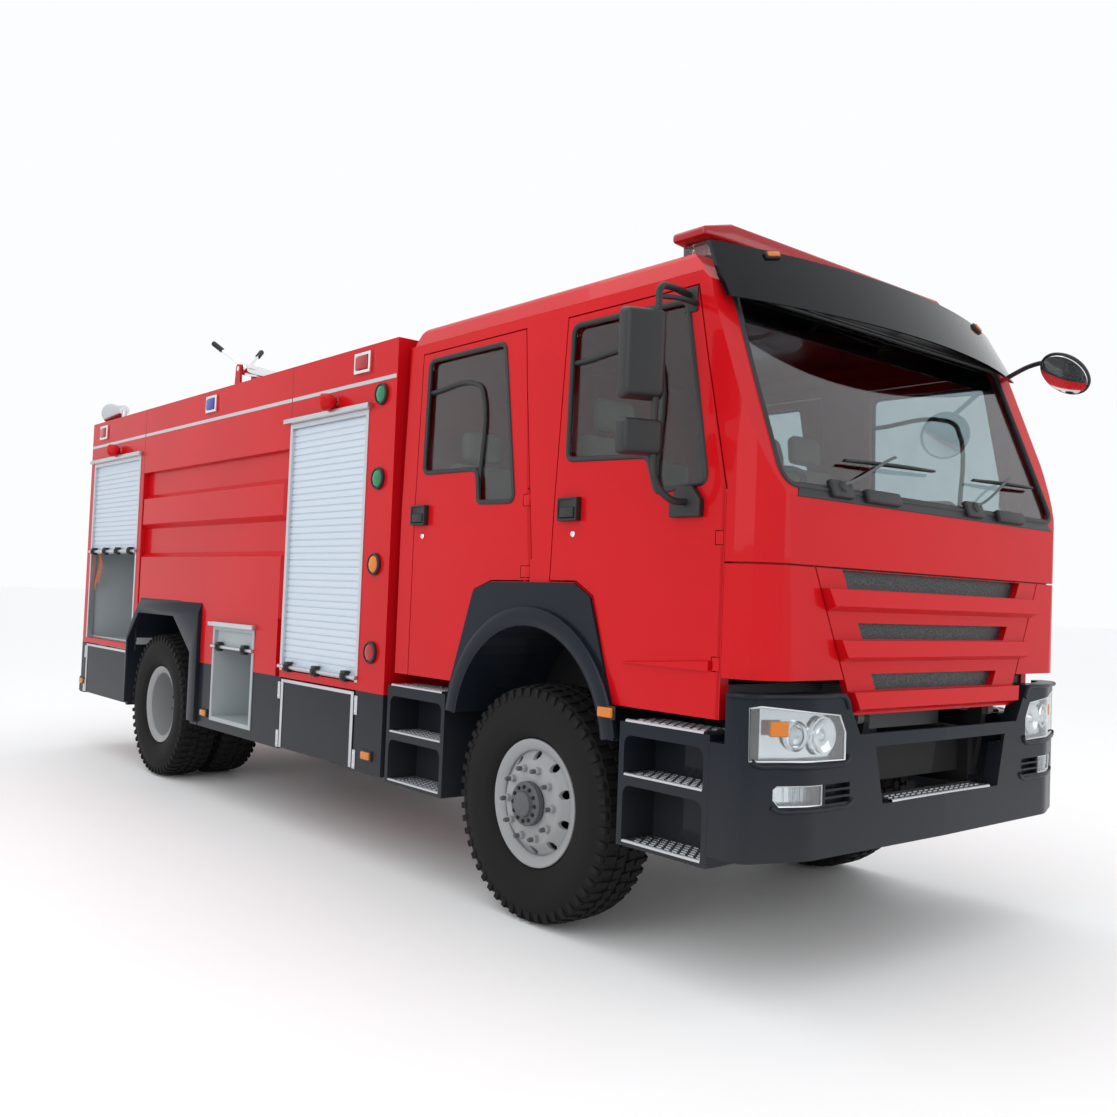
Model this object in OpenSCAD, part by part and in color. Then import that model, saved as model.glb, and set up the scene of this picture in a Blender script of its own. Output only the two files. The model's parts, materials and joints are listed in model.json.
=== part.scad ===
// Crew-cab pumper fire truck on two axles, full size, in millimetres.
// The truck faces -Y. Its right-hand side is at -X. Z is up and the floor is at zero.
// Every module draws in the axle frame, where the front axle stands at y = 0, and place() moves it.

/* [Running gear] */
// Distance between the axles
wheelbase = 4700; // [4400:10:5000]
// Outer radius of a tyre
tyre_r = 560; // [550:1:565]
// Width of a tyre section
tyre_w = 313; // [290:1:320]
// Radius of a rim's flange
rim_r = 302; // [290:1:310]
// Width of a rim over its flanges
rim_w = 240; // [220:1:260]
// Distance between the front tyres' middle planes
front_track = 2096; // [2080:1:2104]
// Distance between the middles of the rear twins
rear_track = 1814; // [1806:1:1820]
// Distance between the middle planes of two twin tyres
twin_pitch = 350; // [340:1:356]
// Distance of a kingpin from the middle of the truck
kingpin_x = 890; // [880:1:894]

/* [Chassis] */
// Width over the frame rails
frame_w = 850; // [780:1:860]
// Height of a frame rail
rail_h = 270; // [240:1:300]
// Height of the top of the frame
frame_top = 1000; // [980:1:1010]
// Distance from the front axle back to the end of the rails
rail_rear = 6480; // [6300:10:6500]

/* [Cab] */
// Width over the doors
cab_w = 2440; // [2424:1:2450]
// Width at the rain gutter
gutter_w = 2400; // [2360:1:2410]
// Height of the door sills
sill_z = 1085; // [1080:1:1095]
// Height of the foot of the windscreen
waist_z = 1975; // [1960:1:1985]
// Height of the rain gutter
gutter_z = 2905; // [2895:1:2915]
// Height of the roof
roof_z = 3035; // [3000:1:3060]
// Distance from the front axle forward to the front face
cab_front = 1400; // [1390:1:1405]
// Distance from the front axle back to the rear face
cab_rear = 1190; // [1170:1:1200]
// Thickness of a door or wall
wall = 50; // [44:1:56]
// Gap round a door
door_gap = 7; // [6:1:9]

/* [Body] */
// Width over the body sides
body_w = 2500; // [2480:1:2540]
// Distance from the front axle back to the body's front wall
body_front = 1250; // [1240:1:1270]
// Distance from the front axle back to the body's rear wall
body_rear = 6570; // [6560:1:6640]
// Height of the lower edge of the skirts
skirt_z = 496; // [480:1:510]
// Height where the red side meets the grey skirt
belt_z = 955; // [945:1:965]
// Height of the body's top edge
body_top = 2970; // [2940:1:3000]
// Depth of the recess between the raised side panels
panel_depth = 45; // [30:1:60]

/* [Motion] */
// Height of the pivot that the cab tilts about
tilt_z = 1085; // [1080:1:1090]
// Distance from the front axle forward to that pivot
tilt_y = 1340; // [1336:1:1344]
// Radial clearance of a pin in its bore
pin_gap = 0.1; // [0.05:0.05:0.2]

/* [Hidden] */
$fn = 48;

// Reach of the whole truck ahead of the front axle, to the rim of the front mirror, and behind it
reach_front = 1548;
reach_rear = body_rear + 80;
// The origin stands under the middle of that reach
front_axle_y = (reach_front - reach_rear) / 2;

module place() { translate([0, front_axle_y, 0]) children(); }
module on_left() { mirror([1, 0, 0]) children(); }
module both_sides() { children(); on_left() children(); }

// Vector and outline helpers
function unit(v) = v / norm(v);
function flat(p) = [p[0], p[1]];
// Chords that stand for one rounded corner [x, y, r]
function corner(a, b, c, steps) =
    len(b) < 3 || b[2] == 0 ? [flat(b)] :
    let (u = unit(flat(a) - flat(b)), v = unit(flat(c) - flat(b)), half = acos(u * v) / 2,
         mid = flat(b) + unit(u + v) * b[2] / sin(half),
         from = flat(b) + u * b[2] / tan(half) - mid, to = flat(b) + v * b[2] / tan(half) - mid,
         a0 = atan2(from[1], from[0]), turn = (atan2(to[1], to[0]) - a0 + 540) % 360 - 180)
    [for (k = [0:steps]) mid + b[2] * [cos(a0 + turn * k / steps), sin(a0 + turn * k / steps)]];
// An outline whose corners [x, y, r] are rounded
function rounded(pts, steps = 4) = let (n = len(pts))
    [for (i = [0:n - 1]) each corner(pts[(i + n - 1) % n], pts[i], pts[(i + 1) % n], steps)];
// An anticlockwise outline moved inwards by d
function inset(pts, d) = let (n = len(pts))
    [for (i = [0:n - 1]) let (e = unit(pts[i] - pts[(i + n - 1) % n]), f = unit(pts[(i + 1) % n] - pts[i]),
        a = [-e[1], e[0]], b = [-f[1], f[0]]) pts[i] + d * (a + b) / (1 + a * b)];
function arc(mid, r, a0, a1, steps) =
    [for (k = [0:steps]) let (a = a0 + (a1 - a0) * k / steps) mid + r * [cos(a), sin(a)]];

// A profile of (y, z) drawn out along X, one of (x, z) along Y, and a box between two corners
module along_x(x0, x1) { translate([x0, 0, 0]) rotate([90, 0, 90]) linear_extrude(x1 - x0) children(); }
module along_y(y0, y1) { translate([0, y1, 0]) rotate([90, 0, 0]) linear_extrude(y1 - y0) children(); }
module block(a, b) { translate(a) cube(b - a); }
// A cylinder along X from x0 to x1
module bar_x(x0, x1, r) { translate([x0, 0, 0]) rotate([0, 90, 0]) cylinder(h = x1 - x0, r = r); }
module bar_y(y0, y1, r) { translate([0, y0, 0]) rotate([-90, 0, 0]) cylinder(h = y1 - y0, r = r); }

// Rear axle, frame and shared heights
rear_axle_y = wheelbase;
rail_z = frame_top - rail_h;
cab_x = cab_w / 2;
body_x = body_w / 2;
front_tyre_x = front_track / 2;
outer_tyre_x = (rear_track + twin_pitch) / 2;
inner_tyre_x = (rear_track - twin_pitch) / 2;
bead_r = 257;

// Tyre outline of (radius, across), with three grooves round the tread
groove = [9, 12];
tyre_half = [[bead_r + 0.2, 104], [rim_r, 104], [rim_r + 12, tyre_w / 2 - 34, 12],
    [tyre_r - 130, tyre_w / 2, 70], [tyre_r - 40, tyre_w / 2 - 12, 40], [tyre_r, tyre_w / 2 - 34, 16]];
tread_half = [[tyre_r, 62], [tyre_r - groove[1], 60], [tyre_r - groove[1], 60 - groove[0]],
    [tyre_r, 58 - groove[0]],
    [tyre_r, groove[0] / 2 + 1], [tyre_r - groove[1], groove[0] / 2]];
function turned(pts) = [for (i = [len(pts) - 1:-1:0]) [pts[i][0], -pts[i][1],
    len(pts[i]) > 2 ? pts[i][2] : 0]];
module tyre(x) {
    outline = concat(tyre_half, tread_half, turned(tread_half), turned(tyre_half));
    translate([x, 0, tyre_r]) rotate([0, 90, 0]) rotate_extrude($fn = 64) polygon(rounded(outline));
}

// One rim, its well open to the outside; disc_x is where its disc bolts to the hub
rim_gauge = 10;
disc_r = 200;
disc_bend = 34;
hole_count = 10;
stud_r = 167;
module rim(x, disc_x) {
    barrel = [[bead_r - rim_gauge, -rim_w / 2], [rim_r, -rim_w / 2], [rim_r, -rim_w / 2 + 14],
        [bead_r, -104],
        [bead_r, 104], [rim_r, rim_w / 2 - 14], [rim_r, rim_w / 2], [bead_r - rim_gauge, rim_w / 2]];
    lip = bead_r - rim_gauge + 2;
    slope = disc_x > 0 ? -75 : 75;
    disc = rounded([[100, disc_x - 8], [disc_r, disc_x - 8, disc_bend], [lip, disc_x - 8 + slope],
        [lip, disc_x + 8 + slope], [disc_r, disc_x + 8, disc_bend], [100, disc_x + 8]]);
    translate([x, 0, tyre_r]) difference() {
        rotate([0, 90, 0]) rotate_extrude($fn = 64) { polygon(barrel); polygon(disc); }
        for (k = [0:hole_count - 1]) rotate([k * 360 / hole_count, 0, 0])
            translate([0, 0, 222]) bar_x(disc_x - 120, disc_x + 120, 21);
    }
}
// Nuts on the side of a disc that faces out
module nuts(x) {
    for (k = [0:hole_count - 1]) translate([x, 0, tyre_r]) rotate([(k + 0.5) * 360 / hole_count, 0, 0])
        translate([0, 0, stud_r]) rotate([0, 90, 0]) cylinder(h = 26, r = 17, $fn = 6);
}

// Front wheel: rim, hub and brake drum, running on the knuckle's spindle
spindle_r = 45;
front_disc = 122;
module rim_front_left() {
    color([0.72, 0.73, 0.75]) {
        difference() {
            union() {
                rim(front_tyre_x, front_disc);
                nuts(front_tyre_x + front_disc + 8);
                translate([front_tyre_x, 0, tyre_r]) {
                    bar_x(-78, front_disc + 8, 128);
                    bar_x(front_disc + 7, front_disc + 46, 92);
                    bar_x(-78, 6, 205);
                }
            }
            translate([front_tyre_x, 0, tyre_r]) bar_x(-80, front_disc - 10, spindle_r + pin_gap);
        }
    }
}
module rim_front_right() { on_left() rim_front_left(); }
module tyre_front_left() { color([0.06, 0.06, 0.06]) tyre(front_tyre_x); }
module tyre_front_right() { on_left() tyre_front_left(); }

// Rear twin wheel: two rims back to back on one hub
rear_spindle_r = 50;
module rims_rear_left() {
    mid = rear_track / 2;
    color([0.72, 0.73, 0.75]) translate([0, rear_axle_y, 0]) difference() {
        union() {
            rim(outer_tyre_x, mid + 9 - outer_tyre_x);
            rim(inner_tyre_x, mid - 9 - inner_tyre_x);
            nuts(mid + 17);
            translate([0, 0, tyre_r]) {
                bar_x(mid - 290, mid + 120, 128);
                bar_x(mid + 119, mid + 150, 100);
                bar_x(mid - 290, mid - 150, 205);
            }
        }
        translate([0, 0, tyre_r]) bar_x(mid - 300, mid + 90, rear_spindle_r + pin_gap);
    }
}
module rims_rear_right() { on_left() rims_rear_left(); }
module tyres_rear_left() {
    color([0.06, 0.06, 0.06]) translate([0, rear_axle_y, 0]) for (x = [outer_tyre_x, inner_tyre_x]) tyre(x);
}
module tyres_rear_right() { on_left() tyres_rear_left(); }

// Steering knuckle: a fork with its kingpin, and the spindle
kingpin_r = 22;
eye_h = 75;
module knuckle_left() {
    plate_x = kingpin_x + 56;
    color([0.2, 0.2, 0.21]) union() {
        for (z = [tyre_r - eye_h - 55, tyre_r + eye_h + 5]) {
            translate([kingpin_x, 0, z]) cylinder(h = 50, r = 46);
            block([kingpin_x, -46, z], [plate_x + 1, 46, z + 50]);
        }
        translate([kingpin_x, 0, tyre_r - eye_h - 30]) cylinder(h = 2 * eye_h + 60,
            r = kingpin_r - pin_gap);
        block([plate_x, -60, tyre_r - eye_h - 55], [plate_x + 18, 60, tyre_r + eye_h + 55]);
        translate([0, 0, tyre_r]) bar_x(plate_x + 17, front_tyre_x + front_disc - 30, spindle_r);
    }
}
module knuckle_right() { on_left() knuckle_left(); }

// Front axle beam with an eye for each kingpin
module front_axle() {
    arm = kingpin_x - 30;
    color([0.2, 0.2, 0.21]) difference() {
        union() {
            along_y(-45, 45) polygon([[-arm, tyre_r - 60], [-620, tyre_r - 60], [-500, tyre_r - 135],
                [500, tyre_r - 135],
                [620, tyre_r - 60], [arm, tyre_r - 60], [arm, tyre_r + 60], [680, tyre_r + 60],
                    [520, tyre_r - 30],
                [-520, tyre_r - 30], [-680, tyre_r + 60], [-arm, tyre_r + 60]]);
            both_sides() translate([kingpin_x, 0, tyre_r - eye_h]) cylinder(h = 2 * eye_h, r = 44);
        }
        both_sides() translate([kingpin_x, 0, tyre_r - eye_h - 1]) cylinder(h = 2 * eye_h + 2,
            r = kingpin_r);
    }
}

// Rear axle housing with its final drive, spindles and propeller shaft
pinion_y = rear_axle_y - 430;
shaft_front = 1500;
module rear_axle() {
    rise = 120;
    run = pinion_y + 60 - shaft_front;
    color([0.16, 0.16, 0.17]) union() {
        translate([0, rear_axle_y, tyre_r]) {
            bar_x(-590, 590, 82);
            bar_x(-rear_track / 2 - 60, rear_track / 2 + 60, rear_spindle_r);
            rotate([-90, 0, 0]) rotate_extrude() polygon([[0, -430], [70, -430], [90, -300], [215, -110],
                [225, 40], [160, 150], [0, 165]]);
        }
        translate([0, shaft_front, tyre_r + rise]) rotate([-90 - atan2(rise, run), 0, 0])
            cylinder(h = norm([run, rise]), r = 52);
    }
}

// Leaf springs under the rails, each leaf a parabola, on hangers
spring_leaf = 13;
// Columns: middle y, half length, leaves, height of the seat, side offset, inner side and top of a hanger
SPRINGS = [[0, 780, 7, tyre_r - 30, frame_w / 2 - 30, frame_w / 2 - 68, rail_z],
    [rear_axle_y, 740, 8, tyre_r + 82.3, frame_w / 2 + 45, frame_w / 2, tyre_r + 330]];
function leaf_z(half, y) = 92 * (y / half) * (y / half);
function leaf_end(s, k) = s[1] * (k + 2) / (s[2] + 1);
function leaf_under(s, k, y) = [y, s[3] + k * spring_leaf + leaf_z(s[1], y)];
// The pack in side view: its top leaf, and the ends of the leaves below as steps
function leaf_pack(s) = let (n = s[2],
    left = [for (k = [n - 1:-1:0]) each [leaf_under(s, k, -leaf_end(s, k)), leaf_under(s, k,
        k > 0 ? -leaf_end(s, k - 1) : -70)]],
    right = [for (k = [len(left) - 1:-1:0]) [-left[k][0], left[k][1]]])
    concat(left, right, [for (k = [4:-1:-4]) leaf_under(s, n, s[1] * k / 4)]);
module leaf_springs() {
    color([0.12, 0.12, 0.13]) both_sides() for (s = SPRINGS) {
        top = s[3] + s[2] * spring_leaf;
        translate([0, s[0], 0]) {
            along_x(s[4] - 38, s[4] + 38) polygon(leaf_pack(s));
            block([s[4] - 45, -60, s[3]], [s[4] + 45, 60, top + 30]);
            for (e = [-1, 1]) block([s[5], e * s[1] - 45, top + 70], [s[4] + 44, e * s[1] + 45, s[6]]);
        }
    }
}

// Frame: two channel rails, cross members, rear guard, and the brackets that carry the tilting cab
rail_front = 1320;
rail_gauge = 10;
// Gap at a bolted seam
seam = 0.2;
flange_w = 90;
CROSS_Y = [-1240, 1250, 2100, 3200, 4100, 5300, 6380];
tilt_pin_r = 17;
tilt_eye = 22;
tow_r = 20;
bracket_x = 500;
module chassis_frame() {
    x = frame_w / 2;
    color([0.1, 0.1, 0.11]) {
        both_sides() {
            along_y(-rail_front, rail_rear) polygon([[x, rail_z], [x, frame_top], [x - flange_w, frame_top],
                [x - flange_w, frame_top - rail_gauge], [x - rail_gauge, frame_top - rail_gauge],
                [x - rail_gauge, rail_z + rail_gauge], [x - flange_w, rail_z + rail_gauge],
                    [x - flange_w, rail_z]]);
            tilt_bracket();
        }
        for (y = CROSS_Y)
            block([-x + rail_gauge + seam, y - 30, rail_z + 60],
                [x - rail_gauge - seam, y + 30, frame_top - 60]);
        rear_guard();
    }
}
// Bracket on a rail with the pin that the cab tilts on
module tilt_bracket() {
    x = frame_w / 2;
    block([x + seam, -rail_front, rail_z + 40], [bracket_x, -rail_front + 120, frame_top - 20]);
    along_x(bracket_x - 40, bracket_x) polygon(rounded([[-rail_front, frame_top - 200],
        [-rail_front + 120, frame_top - 200],
        [-rail_front + 120, frame_top - 20], [-tilt_y + tilt_eye, tilt_z + tilt_eye, 17],
        [-tilt_y - tilt_eye, tilt_z + tilt_eye, 17], [-tilt_y - tilt_eye, tilt_z - tilt_eye, 17]]));
    translate([0, -tilt_y, tilt_z]) bar_x(bracket_x - 1, bracket_x + 60, tilt_pin_r);
}
// Guard across the rear, hung under the rails, with the bore of the tow pin
module rear_guard() {
    x = frame_w / 2;
    difference() {
        union() {
            block([-body_x + 60, rail_rear - 30, skirt_z + 4],
                [body_x - 60, reach_rear - 20, skirt_z + 110]);
            both_sides() {
                block([x - 60, rail_rear - 60, skirt_z + 40], [x - 11, rail_rear, rail_z - seam]);
                block([body_x - 200, rail_rear + 1, skirt_z + 4],
                    [body_x - panel_depth - 8, reach_rear, skirt_z + 134]);
                block([body_x - panel_depth - 9, body_rear + seam, skirt_z + 4],
                    [body_x - 15, reach_rear, skirt_z + 134]);
            }
        }
        translate([0, reach_rear - 80, skirt_z]) cylinder(h = 120, r = tow_r);
    }
}

// Engine, gearbox and radiator as one block on four feet
module engine_block() {
    x = frame_w / 2 - flange_w;
    color([0.3, 0.31, 0.32]) union() {
        along_y(-880, 260) polygon([[-190, 620], [190, 620], [x - 15, 800], [x - 15, 1320],
            [250, 1400], [-250, 1400],
            [-x + 15, 1320], [-x + 15, 800]]);
        along_y(250, 1120) polygon([[-170, 640], [170, 640], [230, 760], [210, 960], [-210, 960],
            [-230, 760]]);
        block([-300, -1040, 1020], [300, -870, 1380]);
        block([-400, -1170, frame_top], [400, -1030, 1400]);
        both_sides() for (y = [-600, 60]) block([x - 20, y - 50, frame_top - 60], [x, y + 50, frame_top]);
    }
}

module fuel_tank() {
    x = frame_w / 2;
    color([0.55, 0.56, 0.58]) union() {
        along_y(1560, 2480) polygon(rounded([[x + 20, 540, 50], [x + 430, 540, 50],
            [x + 430, 900, 50], [x + 20, 900, 50]]));
        for (y = [1700, 2280]) block([x, y, 620], [x + 22, y + 60, 880]);
    }
}

// Bumper in one band, bowed in plan, with a step in the middle and room for its lamps
bumper_x = 1245;
bumper_front = 1450;
bumper_low = 555;
bumper_high = 1200;
ridge_z = 1030;
bumper_gauge = 75;
step_z = 735;
function bumper_plan(d) = let (x = bumper_x - d, y = bumper_front - d)
    [[x, -1170], [x, -1330 + d / 2, 90], [960, -y + 14, 260], [0, -y], [-960, -y + 14, 260],
        [-x, -1330 + d / 2, 90], [-x, -1170]];
module bumper_band(d, thick, z0, z1) {
    outer = rounded(bumper_plan(d), 6);
    inner = rounded(bumper_plan(d + thick), 6);
    translate([0, 0, z0]) linear_extrude(z1 - z0)
        polygon(concat(outer, [for (i = [len(inner) - 1:-1:0]) inner[i]]));
}
// Lamp openings in front view, and how far back they reach
lamp_back = 1325;
HEADLAMP = [[735, 933], [1207, 942], [1210, 1147], [1165, 1152], [775, 1114], [735, 1043]];
FOGLAMP = [[872, 763], [1085, 766], [1112, 795], [1112, 835], [1095, 848], [872, 845]];
module bumper() {
    color([0.21, 0.23, 0.26]) difference() {
        union() {
            bumper_band(0, bumper_gauge, bumper_low, bumper_high);
            both_sides() block([frame_w / 2 - 20, -bumper_front + bumper_gauge - 4, rail_z - 90],
                [frame_w / 2 + 45, -1220, rail_z]);
            block([-480, -bumper_front + 20, step_z - 60], [480, -rail_front - 1, step_z]);
        }
        along_y(-1600, -1000) polygon([[-640, ridge_z], [-740, bumper_high + 1],
            [740, bumper_high + 1], [640, ridge_z]]);
        along_y(-1600, -1365) polygon([[-470, step_z], [470, step_z], [530, 975], [-530, 975]]);
        block([-640, -bumper_front + 25, 930], [640, -1200, ridge_z + 1]);
        both_sides() {
            along_y(-1600, -lamp_back) polygon(HEADLAMP);
            along_y(-1600, -lamp_back) polygon(FOGLAMP);
            for (z = [766, 795, 824]) block([700, -1600, z], [860, -1405, z + 20]);
            block([1100, -1245, frame_top], [1400, -1100, bumper_high + 1]);
        }
    }
}

// Side steps: boxes whose wells hold the treads; columns: rear y, front y, lower z, upper z, tread heights
STEPS = [[-655, -1165, 505, 1025, 520, 800], [1220, 660, 478, 1015, 495, 760]];
step_x = 1240;
step_depth = 270;
tread = 9;
module step_boxes() {
    for (s = STEPS) difference() {
        block([step_x - step_depth, s[1], s[2]], [step_x, s[0], s[3]]);
        for (z = [[s[4], s[5] - 40], [s[5], s[3] - 55]])
            along_x(step_x - 190, step_x + 1) polygon(rounded([[s[1] + 30, z[0]], [s[0] - 30, z[0]],
                [s[0] - 30, z[1], 40],
                [s[1] + 30, z[1], 40]]));
    }
}
module cab_steps() {
    color([0.21, 0.23, 0.26]) both_sides() union() {
        step_boxes();
        for (s = STEPS) block([frame_w / 2, (s[0] + s[1]) / 2 - 40, rail_z + 50],
            [step_x - step_depth + 1, (s[0] + s[1]) / 2 + 40, rail_z + 130]);
    }
}
module step_treads() {
    color([0.75, 0.76, 0.78]) both_sides() for (s = STEPS) for (z = [s[4], s[5], s[3]])
        block([step_x - 185, s[1] + 35, z], [step_x - 4, s[0] - 35, z + tread]);
    color([0.75, 0.76, 0.78]) block([-400, -bumper_front + 10, step_z],
        [400, -rail_front - 3, step_z + tread]);
}

// Body: front locker, tank and rear locker stand on the rails, one behind the other
locker_end = 2540;
tank_end = 5190;
deck_z = body_top - 100;
skin = 40;
// Shutter openings; columns: front y, rear y, height of the curtain's lower edge
SHUTTERS = [[1570, 2500, belt_z + 55], [5300, 6440, 1770]];
shutter_low = belt_z + 45;
shutter_high = 2590;
rail_w = 30;
locker_floor = frame_top + 40;
// Wheel arch of the rear axle in side view, its trim outside and its opening
ARCH_OUT = [[rear_axle_y + 640, skirt_z], [rear_axle_y + 640, 1090], [rear_axle_y + 410, 1395],
    [rear_axle_y - 440, 1395],
    [rear_axle_y - 870, 1050], [rear_axle_y - 870, skirt_z]];
ARCH_IN = [[rear_axle_y + 600, skirt_z - 20], [rear_axle_y + 600, 1040], [rear_axle_y + 370, 1275],
    [rear_axle_y - 380, 1275], [rear_axle_y - 740, 1020], [rear_axle_y - 740, skirt_z - 20]];
liner = 12;
// Small recess for the hose outlets ahead of the rear wheel: front y, rear y, lower z, upper z, depth
OUTLET = [2940, 3590, 575, 1225, 380];
outlet_wall = 15;
outlet_r = 45;

module deck_cut(y0, y1) { block([-body_x + skin, y0, deck_z], [body_x - skin, y1, body_top + 1]); }
module rail_holes(s) {
    both_sides() block([body_x - skin - 1, s[0] - rail_w, shutter_low],
        [body_x + 1, s[1] + rail_w, shutter_high]);
}
module front_locker() {
    color([0.78, 0.05, 0.04]) difference() {
        block([-body_x, body_front, belt_z], [body_x, locker_end, body_top]);
        block([-body_x + skin, body_front + skin, locker_floor],
            [body_x - skin, SHUTTERS[0][1] + rail_w, shutter_high + 60]);
        rail_holes(SHUTTERS[0]);
        deck_cut(body_front + skin, locker_end + 1);
        block([-560, body_front - 1, belt_z - 1], [560, locker_end + 1, frame_top]);
    }
}

// A raised panel on the right-hand side, bevelled all round
module raised_panel(y0, y1, z0, z1) {
    b = panel_depth * 0.8;
    hull() {
        block([body_x - panel_depth - 1, y0, z0], [body_x - panel_depth, y1, z1]);
        block([body_x - 1, y0 + b, z0 + b], [body_x, y1 - b, z1 - b]);
    }
}
// Manhole of the tank: collar, domed lid with its rim, hinge and three clamps
hatch_r = 260;
hatch_h = 70;
module tank_hatch() {
    translate([0, (locker_end + tank_end) / 2, deck_z - 1]) {
        rotate_extrude($fn = 64) polygon(rounded([[0, 0], [hatch_r + 34, 0], [hatch_r + 34, 13, 6],
            [hatch_r, 13, 10], [hatch_r, hatch_h], [hatch_r + 20, hatch_h, 4], [hatch_r + 20, hatch_h + 22, 8],
            [hatch_r - 30, hatch_h + 22, 20], [hatch_r - 60, hatch_h + 40, 60], [0, hatch_h + 44]]));
        block([-70, -hatch_r - 60, hatch_h - 30], [70, -hatch_r + 10, hatch_h + 12]);
        for (a = [30, 90, 150]) rotate([0, 0, a])
            block([hatch_r - 20, -22, hatch_h - 26], [hatch_r + 44, 22, hatch_h + 12]);
    }
}
module tank_body() {
    core = body_x - panel_depth;
    color([0.78, 0.05, 0.04]) {
        tank_hatch();
        difference() {
            union() {
                block([-core, locker_end, 1300], [core, tank_end, body_top]);
                block([-560, locker_end, frame_top], [560, tank_end, 1301]);
                both_sides() {
                    block([core - 60, locker_end, belt_z], [core, rear_axle_y - 700, 1301]);
                    block([core - 1, locker_end, 2435], [body_x, tank_end, body_top]);
                    raised_panel(locker_end + 20, tank_end, 1970, 2250);
                    raised_panel(locker_end + 20, tank_end, 1300, 1770);
                    block([core - 1, locker_end + 56, belt_z], [body_x, tank_end, 1340]);
                }
            }
            deck_cut(locker_end - 1, tank_end + 1);
            both_sides() {
                along_x(560.5, body_x + 1) polygon(inset(ARCH_IN, -liner));
                along_x(core - 10, body_x + 1) polygon(inset(ARCH_OUT, -2));
                block([body_x - OUTLET[4] - 4, OUTLET[0] - 4, OUTLET[2]],
                    [body_x + 1, OUTLET[1] + 4, OUTLET[3] + 4]);
            }
        }
    }
}
module rear_locker() {
    s = SHUTTERS[1];
    depth = 620;
    color([0.78, 0.05, 0.04]) difference() {
        block([-body_x, tank_end, belt_z], [body_x, body_rear, body_top]);
        both_sides() {
            block([body_x - depth, s[0] - rail_w + 10, shutter_low],
                [body_x - skin, s[1] + rail_w, shutter_high + 60]);
            along_x(560.5, body_x + 1) polygon(inset(ARCH_IN, -liner));
            along_x(body_x - panel_depth - 10, body_x + 1) polygon(inset(ARCH_OUT, -2));
        }
        rail_holes(s);
        block([-540, s[0] + 300, locker_floor], [540, body_rear + 1, 2300]);
        deck_cut(tank_end - 1, body_rear - skin);
        block([-560, tank_end - 1, belt_z - 1], [560, body_rear + 1, frame_top]);
    }
}

// Grey skirts between the flaps, and the trim and liner of the rear arches
hinge_r = 8;
flap_x = body_x - 22;
flap_z = skirt_z + 20;
module skirts() {
    color([0.21, 0.23, 0.26]) both_sides() difference() {
        union() {
            block([body_x - panel_depth, body_front, skirt_z], [body_x, SHUTTERS[0][0] - 15, belt_z]);
            block([body_x - panel_depth, SHUTTERS[0][1] + 15, skirt_z],
                [body_x, rear_axle_y - 875, belt_z]);
            block([body_x - panel_depth, SHUTTERS[1][1] + 15, skirt_z], [body_x, body_rear, belt_z]);
        }
        block([body_x - OUTLET[4], OUTLET[0] - 4, OUTLET[2] - 4], [body_x + 1, OUTLET[1] + 4, belt_z + 1]);
        translate([flap_x, 0, flap_z]) bar_y(SHUTTERS[0][0] - 40, SHUTTERS[0][1] + 40, hinge_r);
        translate([flap_x, 0, flap_z]) bar_y(SHUTTERS[1][1] - 40, SHUTTERS[1][1] + 40, hinge_r);
    }
}
module wheel_arches() {
    color([0.21, 0.23, 0.26]) both_sides() difference() {
        union() {
            along_x(body_x - panel_depth - 9, body_x + 4) polygon(ARCH_OUT);
            along_x(561, body_x - panel_depth) polygon(concat(inset(ARCH_IN, -liner + 0.5)));
        }
        along_x(560, body_x + 5) polygon(ARCH_IN);
        block([0, 0, 0], [body_x + 10, body_rear, skirt_z]);
        translate([flap_x, 0, flap_z]) bar_y(rear_axle_y + 620, rear_axle_y + 700, hinge_r);
    }
}
// A flap folds down to a step on the two pins at its lower edge
module flap(y0, y1) {
    color([0.21, 0.23, 0.26]) union() {
        block([body_x - skin, y0, flap_z - 10], [body_x, y1, belt_z - 8]);
        translate([flap_x, 0, flap_z]) bar_y(y0 - 30, y1 + 30, hinge_r - pin_gap);
    }
}
flap_rear_y = rear_axle_y + 655;
module flap_front_left() { flap(SHUTTERS[0][0], SHUTTERS[0][1]); }
module flap_front_right() { on_left() flap_front_left(); }
module flap_rear_left() { flap(flap_rear_y, SHUTTERS[1][1]); }
module flap_rear_right() { on_left() flap_rear_left(); }

module outlet_boxes() {
    o = OUTLET;
    color([0.72, 0.73, 0.75]) both_sides() union() {
        difference() {
            union() {
                block([body_x - o[4], o[0], o[2]], [body_x, o[1], o[3]]);
                block([body_x, o[0] - 14, o[2] - 14], [body_x + 6, o[1] + 14, o[3] + 14]);
            }
            block([body_x - o[4] + outlet_wall, o[0] + outlet_wall, o[2] + outlet_wall],
                [body_x + 7, o[1] - outlet_wall, o[3] - outlet_wall]);
        }
        block([body_x - 30, o[0] + 14, o[3] - 140], [body_x - 18, o[1] - 14, o[3] - 14]);
        for (y = [o[0] + 190, o[1] - 190]) translate([body_x - o[4] + 5, y, o[2] + 260]) bar_x(0, 150,
            outlet_r);
    }
}

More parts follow.
